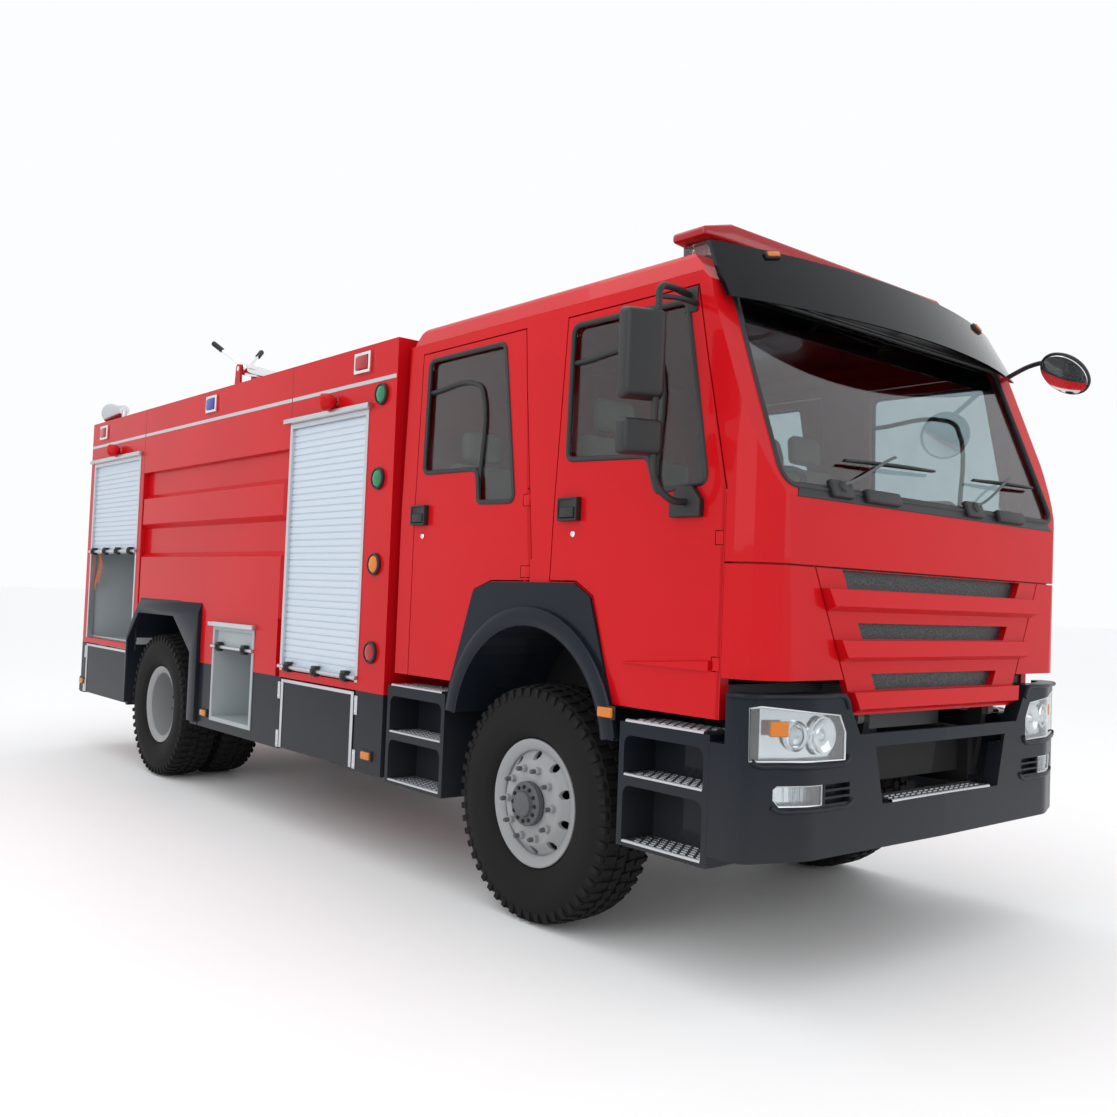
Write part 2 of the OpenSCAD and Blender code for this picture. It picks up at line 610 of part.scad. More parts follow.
// Roller shutters with a bar at the lower edge, in slats
slat = 42;
module curtain(z0, z1) {
    n = floor((z1 - z0) / slat);
    x = body_x - 28;
    face = [for (k = [0:n - 1]) each [[x + 12, z0 + k * slat], [x + 12, z0 + (k + 1) * slat - 9],
        [x + 6, z0 + (k + 1) * slat - 7],
        [x + 6, z0 + (k + 1) * slat]]];
    polygon(concat([[x, z1], [x, z0]], face, [[x + 6, z1]]));
}
module shutters() {
    color([0.62, 0.64, 0.66]) both_sides() for (s = SHUTTERS) {
        along_y(s[0] + 0.3, s[1] - 0.3) curtain(s[2] + 34, shutter_high - rail_w - 1);
        block([body_x - 32, s[0] + 0.3, s[2] - 2], [body_x - 4, s[1] - 0.3, s[2] + 34]);
    }
    color([0.62, 0.64, 0.66]) translate([0, body_rear - body_x, 0]) rotate([0, 0, 90])
        along_y(-540, 540) curtain(locker_floor, 2300);
}
module shutter_rails() {
    color([0.75, 0.76, 0.78]) both_sides() for (s = SHUTTERS) difference() {
        block([body_x - skin, s[0] - rail_w, shutter_low], [body_x + 4, s[1] + rail_w, shutter_high]);
        block([body_x - skin - 1, s[0], shutter_low - 1], [body_x + 5, s[1], shutter_high - rail_w]);
        along_x(body_x - skin - 1, body_x + 5) polygon(inset(ARCH_OUT, -0.3));
    }
}

// Ladder to the roof at the rear
module ladder() {
    color([0.75, 0.76, 0.78]) union() {
        for (x = [-1000, -640]) {
            block([x - 20, body_rear + 40, 700], [x + 20, body_rear + 66, body_top - 10]);
            for (z = [760, 1700, body_top - 60]) block([x - 20, body_rear, z - 20],
                [x + 20, body_rear + 41, z + 20]);
        }
        for (z = [800:290:2860]) translate([0, body_rear + 53, z]) bar_x(-985, -655, 13);
    }
}

// Lamps on the body and the bumper
LAMP_Y = 1400;
// Columns: y, z of the round signal lamps, the strobes, the side markers and the spot lamps
ROUND = [[LAMP_Y, 2662], [LAMP_Y, 2176], [LAMP_Y, 1685], [LAMP_Y, 1183]];
STROBE = [[1620, 2870], [3820, 2865], [6230, 2865]];
MARKER = [[1395, 600], [3700, 600], [6510, 600]];
SPOT = [[1950, 2670], [5820, 2670]];
module lamps() {
    color([0.8, 0.5, 0.2]) both_sides() {
        intersection() {
            bumper_band(5, bumper_gauge - 20, 900, 1180);
            along_y(-1600, -lamp_back - 1) polygon(inset(HEADLAMP, 0.3));
        }
        intersection() {
            bumper_band(8, bumper_gauge - 25, 700, 900);
            along_y(-1600, -lamp_back - 1) polygon(inset(FOGLAMP, 0.3));
        }
        for (p = ROUND) translate([body_x, p[0], p[1]]) rotate([0, 90, 0]) cylinder(h = 26, r1 = 62,
            r2 = 50);
        for (p = STROBE) block([body_x, p[0] - 90, p[1] - 62], [body_x + 30, p[0] + 90, p[1] + 62]);
        for (p = MARKER) block([body_x, p[0] - 50, p[1] - 25], [body_x + 22, p[0] + 50, p[1] + 25]);
        for (p = SPOT) translate([body_x, p[0], p[1]]) {
            bar_x(0, 30, 14);
            block([24, -55, -50], [84, 55, 50]);
        }
        for (z = [700, 800]) translate([body_x - 120, body_rear, z + 280]) rotate([-90, 0,
            0]) cylinder(h = 28, r = 48);
    }
    color([0.85, 0.87, 0.9]) on_left() translate([body_x - 110, body_rear - 480, deck_z]) {
        cylinder(h = 215, r = 22);
        translate([0, 0, 204]) rotate([-90, 0, 0]) cylinder(h = 340, r1 = 45, r2 = 95);
    }
}

// Water cannon on the roof: base, swivel and barrel with its handles
monitor_y = 6080;
pan_z = deck_z + 360;
elevate_z = 3625;
trunnion_r = 25;
module monitor_base() {
    color([0.75, 0.06, 0.05]) translate([0, monitor_y, 0]) union() {
        translate([0, 0, deck_z]) cylinder(h = 26, r = 130);
        translate([0, 0, deck_z + 25]) cylinder(h = pan_z - deck_z - 25, r = 66);
        translate([0, 0, pan_z - 1]) cylinder(h = 60, r = 40);
    }
}
module monitor_swivel() {
    color([0.75, 0.06, 0.05]) translate([0, monitor_y, 0]) difference() {
        union() {
            translate([0, 0, pan_z + 5]) cylinder(h = 110, r = 96);
            translate([0, 0, pan_z + 114]) cylinder(h = 90, r1 = 96, r2 = 78);
            both_sides() along_x(70, 92) polygon(rounded([[-70, pan_z + 150], [70, pan_z + 150],
                [44, elevate_z + 44, 40],
                [-44, elevate_z + 44, 40]]));
        }
        translate([0, 0, pan_z]) cylinder(h = 66, r = 40 + pin_gap);
        translate([0, 0, elevate_z]) bar_x(-100, 100, trunnion_r);
    }
}
module rod(a, b, r) {
    d = b - a;
    translate(a) rotate([0, acos(d[2] / norm(d)), atan2(d[1], d[0])]) cylinder(h = norm(d), r = r);
}
grip = [255, 240, 257];
module monitor_barrel() {
    color([0.7, 0.71, 0.73]) translate([0, monitor_y, elevate_z]) union() {
        bar_x(-92, 92, trunnion_r - pin_gap);
        bar_x(-64, 64, 60);
        rotate([12, 0, 0]) rotate([90, 0, 0]) {
            cylinder(h = 560, r1 = 56, r2 = 40);
            translate([0, 0, 555]) cylinder(h = 330, r1 = 40, r2 = 34);
            translate([0, 0, 880]) cylinder(h = 90, r1 = 40, r2 = 66);
        }
        both_sides() {
            rod(grip * 0.12, grip * 0.8, 14);
            rod(grip * 0.72, grip, 21);
        }
    }
}

// Cab: one envelope, drawn inwards by d, that the frame, roof, doors and panels are cut from
corner_r = 205;
function cab_profile(d) = rounded([[-cab_front + d, sill_z], [cab_rear - d, sill_z],
    [cab_rear - d, roof_z - d, 50],
    [-860 + d / 2, roof_z - d, 120], [-970 + d, 2945 - d * 0.6, 90], [-1040 + d * 1.1, 2870, 0],
        [-1390 + d * 1.1, waist_z, 60]]);
function cab_section(d) = let (g = gutter_w / 2 - d, w = cab_x - d)
    rounded([[-w, sill_z - 1], [w, sill_z - 1], [w, waist_z, 200], [g, gutter_z, 0],
        [g - 20, gutter_z + 10, 0],
        [g - 90, roof_z - d, 80], [-g + 90, roof_z - d, 80], [-g + 20, gutter_z + 10, 0],
            [-g, gutter_z, 0], [-w, waist_z, 200]]);
module cab_solid(d) {
    intersection() {
        along_x(-cab_x - 10, cab_x + 10) polygon(cab_profile(d));
        along_y(-cab_front - 10, cab_rear + 10) polygon(cab_section(d));
        linear_extrude(roof_z + 10) polygon(rounded([[-cab_x + d, -cab_front + d, corner_r - d],
            [cab_x - d, -cab_front + d, corner_r - d],
            [cab_x - d, cab_rear - d], [-cab_x + d, cab_rear - d]], 8));
    }
}
// Outlines in side view: the wheel flare, the two doors and their windows
flare_mid = 845;
flare_r = 555;
FLARE = [[-640, 931], [646, 931], [646, 1062], [465, 1561], [330, 1605], [-310, 1611], [-425, 1548],
    [-634, 945]];
DOOR_F = [[-1185, sill_z - 40], [-582, sill_z - 40], [-566, sill_z], [-425, 1548], [-310, 1611],
    [-120, 1610], [-165, 2850],
    [-992, 2850], [-1185, 1990]];
DOOR_R = [[638, sill_z - 40], [1060, sill_z - 40], [1060, 2850], [145, 2850], [25, 1715], [25, 1608],
    [330, 1605], [465, 1561],
    [638, sill_z]];
WINDOW_F = rounded([[-215, 2175, 40], [-210, 2800, 50], [-930, 2790, 50], [-1085, 2025, 40],
    [-800, 1998, 30], [-740, 2155, 60]]);
WINDOW_R = rounded([[985, 2800, 50], [312, 2800, 50], [172, 1998, 40], [470, 2005, 30],
    [495, 2178, 60], [985, 2185, 40]]);
SCREEN = rounded([[-1100, 2015, 90], [1100, 2015, 90], [1065, 2845, 60], [-1065, 2845, 60]]);
front_skin = 30;
// Leaning front edges of the doors, lower and upper end
LEAN_F = [DOOR_F[8], DOOR_F[7]];
LEAN_R = [DOOR_R[4], DOOR_R[3]];
// Depth and half width of the groove in which such an edge swings
swing_deep = 16;
swing_half = 18;
// Vertical hinge axes of the doors, and the heights of their knuckles
hinge_x = cab_x - 15;
HINGE_F = [-1163, [1300, 1800]];
HINGE_R = [75, [1655, 2000]];
knuckle_h = 60;
door_pin_r = 8;

// The flare's round opening in side view, open below
function arch_line(r) = concat(arc([0, flare_mid], r, 0, 180, 24), [[-r, flare_mid - 200],
    [r, flare_mid - 200]]);
// The arm that holds a door's pin, y0 being the pillar's edge
module hinge_arms(y0, hinge) {
    for (z = hinge[1]) {
        block([hinge_x - 14, y0 - 4, z - 20], [hinge_x + 8, hinge[0], z + 20]);
        translate([hinge_x, hinge[0], z - 50]) cylinder(h = 100, r = door_pin_r - pin_gap);
        translate([hinge_x, hinge[0], z - 20]) cylinder(h = 40, r = 14);
    }
}
// Groove along a leaning edge, where the door swings past the pillar
module swing_groove(edge) {
    run = edge[1] - edge[0];
    translate([0, edge[0][0], edge[0][1]]) rotate([-atan2(run[0], run[1]), 0, 0]) linear_extrude(norm(run))
        polygon([[cab_x - swing_deep, door_gap / 2], [cab_x + 2, door_gap / 2 - swing_half],
            [cab_x + 2, door_gap / 2 + swing_half]]);
}
module cab_frame() {
    color([0.78, 0.05, 0.04]) union() {
        difference() {
            cab_solid(0);
            cab_solid(wall);
            block([-1300, -1500, gutter_z], [1300, 1300, roof_z + 20]);
            both_sides() {
                along_x(900, 1300) polygon(DOOR_F);
                along_x(900, 1300) polygon(DOOR_R);
                swing_groove(LEAN_F);
                swing_groove(LEAN_R);
                along_x(0, cab_x + 60) polygon(arch_line(flare_r + 25));
            }
            along_y(-1500, -880) polygon(SCREEN);
            difference() {
                block([-1300, -1500, sill_z - 10], [1300, -1190, waist_z]);
                cab_solid(front_skin);
            }
            block([-1400, -1500, sill_z - 10], [1400, -1190, 1250]);
            block([-745, -1500, 1185], [745, -1190, 1720]);
            block([-cab_x + wall, -1300, sill_z - 10], [cab_x - wall, cab_rear - wall, sill_z + 40]);
        }
        both_sides() {
            hinge_arms(-1185, HINGE_F);
            hinge_arms(25, HINGE_R);
        }
    }
}
module cab_roof() {
    color([0.78, 0.05, 0.04]) difference() {
        cab_solid(0);
        cab_solid(wall);
        block([-1300, -1500, 0], [1300, 1300, gutter_z]);
    }
}
// Floor with a box over the wheels, a tunnel over the engine, and the ears it tilts on
floor_z = 1180;
box_z = 1440;
tunnel_x = 450;
tunnel_z = 1560;
sheet = 40;
module cab_floor() {
    x = cab_x - wall - 10;
    f = cab_front - wall;
    b = cab_rear - wall;
    color([0.3, 0.31, 0.33]) difference() {
        union() {
            along_x(-x, x) polygon([[-1180, floor_z], [-620, floor_z], [-620, box_z], [620, box_z],
                [620, floor_z], [b, floor_z],
                [b, floor_z + sheet], [660, floor_z + sheet], [660, box_z + sheet], [-660, box_z + sheet],
                [-660, floor_z + sheet], [-1180, floor_z + sheet]]);
            along_x(-tunnel_x - sheet, tunnel_x + sheet) polygon([[-1300, floor_z], [b, floor_z],
                [b, floor_z + sheet], [900, tunnel_z + sheet],
                [-1300, tunnel_z + sheet]]);
            both_sides() along_x(bracket_x + 8, bracket_x + 52) polygon(rounded([[-1180, floor_z + 1],
                [-1180, floor_z + 30],
                [-1300, floor_z + 30], [-tilt_y - 28, tilt_z + 10, 20],
                    [-tilt_y - 28, tilt_z - 28, 20], [-tilt_y + 28, tilt_z - 28, 20],
                [-1250, floor_z - 40]]));
            both_sides() block([tunnel_x, -1300, floor_z + 1], [bracket_x + 52, -1170, floor_z + sheet]);
        }
        along_x(-tunnel_x, tunnel_x) polygon([[-1400, floor_z - 10], [b - 60, floor_z - 10],
            [880, tunnel_z], [-1400, tunnel_z]]);
        translate([0, -tilt_y, tilt_z]) bar_x(-700, 700, tilt_pin_r + pin_gap);
    }
}
// Front skin: the lid under the screen, the corner panels and the grille panel with its slots
// Columns: lower z, upper z, half width below and above
SLOTS = [[1620, 1700, 690, 730], [1415, 1485, 580, 615], [1203, 1275, 480, 515]];
PANEL_V = [[-640, 1101], [640, 1101], [680, 1209], [905, 1700], [-905, 1700], [-680, 1209]];
module front_shell() {
    difference() {
        cab_solid(0);
        cab_solid(front_skin);
        block([-1300, -1192, 0], [1300, 1300, roof_z + 10]);
        block([-1300, -1500, waist_z], [1300, 1300, roof_z + 10]);
    }
}
module front_panels() {
    color([0.78, 0.05, 0.04]) {
        intersection() {
            front_shell();
            block([-1300, -1500, 1706], [1300, -1000, waist_z]);
        }
        difference() {
            intersection() {
                front_shell();
                block([-1300, -1500, 1250], [1300, -1000, 1698]);
            }
            along_y(-1500, -1000) polygon(inset(PANEL_V, -6));
        }
        difference() {
            union() {
                intersection() {
                    front_shell();
                    along_y(-1500, -1000) polygon(inset(PANEL_V, 2));
                }
                for (s = SLOTS) intersection() {
                    along_x(-900, 900) polygon([[-cab_front + 20, s[0] - 100],
                        [-cab_front - 44, s[0] - 72], [-cab_front - 34, s[0] - 4],
                        [-cab_front + 20, s[0] - 2]]);
                    along_y(-1500, -1000) polygon(inset(PANEL_V, 2));
                }
            }
            for (s = SLOTS) along_y(-1500, -1000) polygon([[-s[2], s[0]], [s[2], s[0]],
                [s[3], s[1] - 4], [-s[3], s[1] - 4]]);
        }
    }
}
module grille_mesh() {
    color([0.05, 0.05, 0.06]) intersection() {
        difference() {
            cab_solid(front_skin);
            cab_solid(front_skin + 10);
        }
        along_y(-1500, -1300) polygon([[-560, 1190], [560, 1190], [740, 1712], [-740, 1712]]);
    }
}
module windscreen() {
    color([0.25, 0.3, 0.33, 0.5]) intersection() {
        difference() {
            cab_solid(14);
            cab_solid(22);
        }
        along_y(-1500, -880) polygon(SCREEN);
    }
}
// The visor is a slanted band turned about an upright axis behind the cab
visor_r = 3800;
visor_front = 1300;
module sun_visor() {
    r = visor_r;
    color([0.1, 0.08, 0.09]) difference() {
        union() {
            intersection() {
                translate([0, visor_r - visor_front, 0]) rotate([0, 0,
                    -108]) rotate_extrude(angle = 36, $fn = 64)
                    polygon([[r - 24, 2790], [r, 2785], [r - 150, 3055], [r - 174, 3055]]);
                block([-1150, -1500, 2700], [1150, -800, 3100]);
            }
            both_sides() for (x = [280, 860])
                block([x - 15, visor_r - visor_front - sqrt(pow(r - 115, 2) - x * x), 2960],
                    [x + 15, -900, 2990]);
        }
        cab_solid(0);
    }
}
// Light bar: a dome that slopes away at both ends, on two feet
bar_end = 1000;
module light_bar() {
    color([0.7, 0.03, 0.05]) union() {
        intersection() {
            along_x(-bar_end, bar_end) polygon(rounded([[-820, roof_z + 34], [-620, roof_z + 34],
                [-600, roof_z + 90, 20], [-640, roof_z + 150, 40],
                [-800, roof_z + 150, 40], [-840, roof_z + 90, 20]]));
            along_y(-900, -500) polygon(rounded([[-bar_end + 100, roof_z + 33], [bar_end - 100, roof_z + 33],
                [bar_end, roof_z + 88, 15], [bar_end, roof_z + 114, 15], [bar_end - 160, roof_z + 151, 40],
                [-bar_end + 160, roof_z + 151, 40], [-bar_end, roof_z + 114, 15],
                [-bar_end, roof_z + 88, 15]]));
        }
        for (x = [-620, 620]) block([x - 60, -800, roof_z], [x + 60, -640, roof_z + 35]);
    }
}
screen_tilt = atan2(350, 895);
module on_screen() { translate([0, -1390, waist_z]) rotate([90 - screen_tilt, 0, 0]) children(); }
// Wiper pivots, as x and the slant of the arm
WIPERS = [[-810, -8], [290, -8]];
module wipers() {
    color([0.05, 0.05, 0.05]) on_screen() for (w = WIPERS) translate([w[0], 22, 0]) {
        cylinder(h = 34, r = 22);
        rotate([0, 0, -w[1]]) {
            translate([0, -12, 18]) cube([620, 24, 12]);
            translate([180, -30, 2]) cube([640, 14, 22]);
            translate([560, -30, 14]) cube([40, 32, 12]);
        }
    }
}
module seat(x0, x1, y0, y1, z0, z1, top) {
    along_x(x0, x1) polygon(rounded([[y0, z0], [y1 - 10, z0], [y1 - 10, z1 - 60], [y1 + 70, top, 40],
        [y1 - 60, top, 40], [y1 - 130, z1, 30],
        [y0, z1, 50]]));
}
module seats() {
    color([0.55, 0.52, 0.47]) {
        for (x = [-765, 765]) seat(x - 250, x + 250, -560, -40, box_z + sheet, 1760, 2560);
        seat(-1050, 1050, 640 + 30, 1060, tunnel_z + sheet + 20, 1760, 2480);
        both_sides() block([520, 670, floor_z + sheet], [1050, 1040, tunnel_z + sheet + 21]);
    }
}
// Room beside the dashboard for the inner edge of a swinging door
door_room = 12;
module dashboard() {
    color([0.2, 0.2, 0.21]) {
        difference() {
            intersection() {
                along_x(-cab_x, cab_x) polygon(rounded([[-1320, 1720], [-1040, 1700], [-1000, 1900, 40],
                    [-1080, 2000, 60], [-1290, 2000, 20], [-1320, 1900]]));
                cab_solid(wall + 0.3);
            }
            both_sides() block([cab_x - wall - door_room, DOOR_F[0][0] - 5, 1600], [cab_x, -900, 2100]);
        }
        translate([-650, -880, 2010]) rotate([-35, 0, 0]) {
            rotate_extrude() translate([215, 0]) circle(r = 16);
            cylinder(h = 30, r = 60, center = true);
            for (a = [90, 210, 330]) rotate([0, 0, a]) translate([40, -14, -8]) cube([165, 28, 14]);
            translate([0, 0, -300]) cylinder(h = 300, r = 40);
        }
    }
}
module front_mirror() {
    color([0.06, 0.06, 0.06]) difference() {
        union() {
            rod([1180, -1020, 2800], [1196, -1180, 2880], 13);
            rod([1196, -1180, 2880], [1130, -1400, 2870], 13);
            rod([1130, -1400, 2870], [1060, -1440, 2790], 13);
            for (p = [[1196, -1180, 2880], [1130, -1400, 2870]]) translate(p) sphere(r = 14);
            translate([1050, -1440, 2775]) rotate([35, 20, 0]) cylinder(h = 34, r1 = 132, r2 = 100);
        }
        cab_solid(0);
    }
}
// Flare round the front wheel, with the liner behind it
module wheel_flares() {
    low = FLARE[0][1] + 4;
    color([0.21, 0.23, 0.26]) both_sides() {
        along_x(cab_x, cab_x + 14) difference() {
            polygon(inset(FLARE, 3));
            polygon(arch_line(flare_r));
        }
        along_x(cab_x + 13, cab_x + 34) intersection() {
            difference() {
                polygon(arch_line(flare_r + 90));
                polygon(arch_line(flare_r + 1));
            }
            polygon(inset(FLARE, 5));
        }
        along_x(700, cab_x + 1) intersection() {
            difference() {
                polygon(arch_line(flare_r + 22));
                polygon(arch_line(flare_r));
            }
            translate([-800, low]) square([1600, 1000]);
        }
    }
}
// A door is cut from the cab's wall; outline, window, hinge and leaning edge
module door(outline, window, hinge, lean) {
    edge = outline[0][0] < -1000 ? DOOR_F[0][0] : lean[0][0];
    difference() {
        intersection() {
            difference() { cab_solid(0); cab_solid(wall); }
            along_x(900, 1300) polygon(inset(outline, door_gap));
        }
        along_x(900, 1300) polygon(window);
        for (z = hinge[1]) {
            block([hinge_x - 60, edge - 20, z - knuckle_h / 2],
                [cab_x + 1, hinge[0] + 24, z + knuckle_h / 2]);
            translate([hinge_x, hinge[0], z - 60]) cylinder(h = 120, r = door_pin_r);
        }
        linear_extrude(2050) polygon([[cab_x + 1, edge - 1], [cab_x + 1, edge + door_gap + 10],
            [cab_x - 10, edge + door_gap - 1], [cab_x - 10, edge - 1]]);
        swing_groove(lean);
    }
    h = outline[0][0] < -1000 ? [-260, 1945] : [985, 1955];
    block([cab_x - 1, h[0] - 60, h[1] - 22], [cab_x + 22, h[0] + 60, h[1] + 22]);
}
module glass(window) {
    intersection() {
        difference() { cab_solid(18); cab_solid(24); }
        along_x(900, 1300) polygon(window);
    }
}
module door_front_left() { color([0.78, 0.05, 0.04]) door(DOOR_F, WINDOW_F, HINGE_F, LEAN_F); }
module door_front_right() { on_left() door_front_left(); }
module door_rear_left() { color([0.78, 0.05, 0.04]) door(DOOR_R, WINDOW_R, HINGE_R, LEAN_R); }
module door_rear_right() { on_left() door_rear_left(); }
module glass_front_left() { color([0.2, 0.25, 0.28, 0.5]) glass(WINDOW_F); }
module glass_front_right() { on_left() glass_front_left(); }
module glass_rear_left() { color([0.2, 0.25, 0.28, 0.5]) glass(WINDOW_R); }
module glass_rear_right() { on_left() glass_rear_left(); }
// Mirrors on a tube that the door carries at two brackets
module mirrors_left() {
    x = 1410;
    y = -970;
    color([0.05, 0.05, 0.05]) difference() {
        union() {
            translate([x, y, 1925]) cylinder(h = 895, r = 15);
            for (p = [[-940, 2806], [-1000, 1939]]) rod([cab_x - 80, p[0], p[1]], [x, y, p[1]], 15);
            for (b = [[2335, 2715], [2115, 2265]]) translate([x + 50, y + 30, b[0]]) rotate([0, 0,
                24]) linear_extrude(b[1] - b[0])
                polygon(rounded([[-100, -40, 20], [100, -40, 20], [100, 40, 20], [-100, 40, 20]]));
        }
        cab_solid(0);
    }
}
module mirrors_right() { on_left() mirrors_left(); }

place() chassis_frame();
place() front_axle();
place() rear_axle();
place() leaf_springs();
place() engine_block();
place() fuel_tank();
place() knuckle_right();
place() knuckle_left();
place() tyre_front_right();
place() tyre_front_left();
place() rim_front_right();
place() rim_front_left();
place() tyres_rear_right();
place() tyres_rear_left();
place() rims_rear_right();
place() rims_rear_left();
place() bumper();
place() lamps();
place() cab_steps();
place() step_treads();
place() front_locker();
place() tank_body();
place() rear_locker();
place() skirts();
place() wheel_arches();
place() outlet_boxes();
place() shutters();
place() shutter_rails();
place() ladder();
place() flap_front_right();
place() flap_front_left();
place() flap_rear_right();
place() flap_rear_left();
place() monitor_base();
place() monitor_swivel();
place() monitor_barrel();
place() cab_frame();
place() cab_roof();
place() cab_floor();
place() front_panels();
place() grille_mesh();
place() windscreen();
place() sun_visor();
place() light_bar();
place() wipers();
place() seats();
place() dashboard();
place() front_mirror();
place() wheel_flares();
place() door_front_right();
place() door_front_left();
place() door_rear_right();
place() door_rear_left();
place() glass_front_right();
place() glass_front_left();
place() glass_rear_right();
place() glass_rear_left();
place() mirrors_right();
place() mirrors_left();
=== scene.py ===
# %% [markdown]
# # A crew-cab fire truck
# The solids of the truck come from a CAD model and stay where they are. This lesson gives them
# real finishes, adds the small pieces that a CAD model leaves out, and lights the whole.
# The truck faces -Y, its right-hand side is -X, Z is up, and one unit is one metre.

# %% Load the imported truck
import json
import math

import bpy
from mathutils import Matrix, Vector


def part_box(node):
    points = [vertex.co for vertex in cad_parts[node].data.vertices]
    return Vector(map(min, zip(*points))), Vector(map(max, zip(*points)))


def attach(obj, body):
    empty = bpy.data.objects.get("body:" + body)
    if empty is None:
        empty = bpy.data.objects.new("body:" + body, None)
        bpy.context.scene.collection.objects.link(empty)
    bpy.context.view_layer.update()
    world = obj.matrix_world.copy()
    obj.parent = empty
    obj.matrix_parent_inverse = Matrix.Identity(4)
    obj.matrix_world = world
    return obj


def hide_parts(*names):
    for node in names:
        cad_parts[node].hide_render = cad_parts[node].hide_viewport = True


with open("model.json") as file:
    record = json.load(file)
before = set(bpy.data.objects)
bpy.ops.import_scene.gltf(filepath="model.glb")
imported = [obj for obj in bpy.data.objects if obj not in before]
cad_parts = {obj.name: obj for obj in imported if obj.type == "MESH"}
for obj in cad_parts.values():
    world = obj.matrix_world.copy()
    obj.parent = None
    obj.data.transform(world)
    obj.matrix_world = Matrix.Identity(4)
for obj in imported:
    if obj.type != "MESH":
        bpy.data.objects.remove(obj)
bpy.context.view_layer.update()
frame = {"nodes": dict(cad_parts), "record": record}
nodes = frame["nodes"]

# %% [markdown]
# The camera comes first, because it decides what has to be worked out finely. It stands where the
# photographer stood: ahead of the right front corner, at chest height, looking slightly up, with a
# small roll. Its place is given from the front axle, which is read from the CAD node.

# %% Camera
def centre(node):
    lo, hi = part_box(node)
    return (lo + hi) / 2


axle_y = centre("front_axle").y
YAW, PITCH, ROLL = math.radians(40.135), math.radians(1.959), math.radians(2.232)
CAMERA_X, CAMERA_AHEAD, CAMERA_Z = -4.5006, 4.0733, 1.544
SENSOR_MM, FOCAL_PX, PICTURE_PX = 36, 1101.57, 1117
look = Vector((math.sin(YAW) * math.cos(PITCH), math.cos(YAW) * math.cos(PITCH), math.sin(PITCH)))
level = look.cross(Vector((0, 0, 1))).normalized()
upright = level.cross(look)
right = level * math.cos(ROLL) + upright * math.sin(ROLL)
up = upright * math.cos(ROLL) - level * math.sin(ROLL)
camera = bpy.data.objects.new("photo_camera", bpy.data.cameras.new("photo_camera"))
bpy.context.scene.collection.objects.link(camera)
stand = Matrix.Translation((CAMERA_X, axle_y - CAMERA_AHEAD, CAMERA_Z))
camera.matrix_world = stand @ Matrix((right, up, -look)).transposed().to_4x4()
camera.data.sensor_width = SENSOR_MM
camera.data.lens = SENSOR_MM * FOCAL_PX / PICTURE_PX
camera.data.clip_end = 200
bpy.context.scene.camera = camera
bpy.context.scene.view_settings.view_transform = "Standard"
print("front axle at y =", round(axle_y, 4))

# %% [markdown]
# Soft studio light: a pale surround, a wide panel over the truck, a key panel on the camera's side
# and a low fill ahead of the cab. The floor is a plain pale sheet.

# %% Light and floor
world = bpy.data.worlds.new("pale_surround")
bpy.context.scene.world = world
world.use_nodes = True
world.node_tree.nodes["Background"].inputs["Color"].default_value = (0.97, 0.985, 1.0, 1)
world.node_tree.nodes["Background"].inputs["Strength"].default_value = 1.0


def panel_light(name, place, target, size, power):
    data = bpy.data.lights.new(name, "AREA")
    data.shape, data.size, data.size_y, data.energy = "RECTANGLE", size[0], size[1], power
    lamp = bpy.data.objects.new(name, data)
    bpy.context.scene.collection.objects.link(lamp)
    lamp.location = place
    lamp.rotation_euler = (Vector(target) - Vector(place)).to_track_quat("-Z", "Y").to_euler()
    print(name, "at", place, "with", power, "W")


panel_light("top_panel", (-1, 0, 9), (0, 0, 0), (7, 12), 190)
panel_light("key_panel", (-9, -4, 5), (-1, 0, 1.5), (6, 6), 180)
panel_light("front_panel_light", (3, -11, 4), (0, -3, 1.5), (6, 4), 100)
bpy.ops.object.select_all(action="DESELECT")
bpy.ops.mesh.primitive_plane_add(size=300, location=(0, 0, 0))
floor = bpy.context.object
floor.name = "pale_floor"

# %% [markdown]
# Every finish starts from what the real one is. Colours are written as sRGB hex values, and one
# function turns them to linear. One small function adds a shader node with its settings and links,
# and the short ones after it name the few nodes that most finishes use.

# %% Colour and node helpers
def linear(hex_colour, share=1):
    channels = [int(hex_colour[i:i + 2], 16) / 255 for i in (1, 3, 5)]
    light = [c / 12.92 if c <= 0.04045 else ((c + 0.055) / 1.055) ** 2.4 for c in channels]
    return [share * c for c in light] + [1]


def add(material, kind, links=None, **settings):
    made = material.node_tree.nodes.new(kind)
    for name, value in settings.items():
        setattr(made, name, value)
    for name, value in (links or {}).items():
        if isinstance(value, bpy.types.NodeSocket):
            material.node_tree.links.new(value, made.inputs[name])
        else:
            made.inputs[name].default_value = value
    return made


def finish(name, **sockets):
    material = bpy.data.materials.new(name)
    material.use_nodes = True
    shader = material.node_tree.nodes["Principled BSDF"]
    for socket, value in sockets.items():
        shader.inputs[socket.replace("_", " ")].default_value = value
    place = add(material, "ShaderNodeTexCoord").outputs["Object"]
    print("finish:", name)
    return material, shader, place


def wire(material, output, shader, socket):
    material.node_tree.links.new(output, shader.inputs[socket])


def cloud(material, place, scale, detail):
    links = {"Vector": place, "Scale": scale, "Detail": detail}
    return add(material, "ShaderNodeTexNoise", links).outputs["Fac"]


def blend(material, share, first, second):
    return add(material, "ShaderNodeMix", {0: share, 6: first, 7: second}, data_type="RGBA").outputs[2]


# A value between start and stop becomes one between low and high.
def spread(material, value, low, high, start=0.0, stop=1.0):
    limits = {"Value": value, "From Min": start, "From Max": stop, "To Min": low, "To Max": high}
    return add(material, "ShaderNodeMapRange", limits).outputs[0]


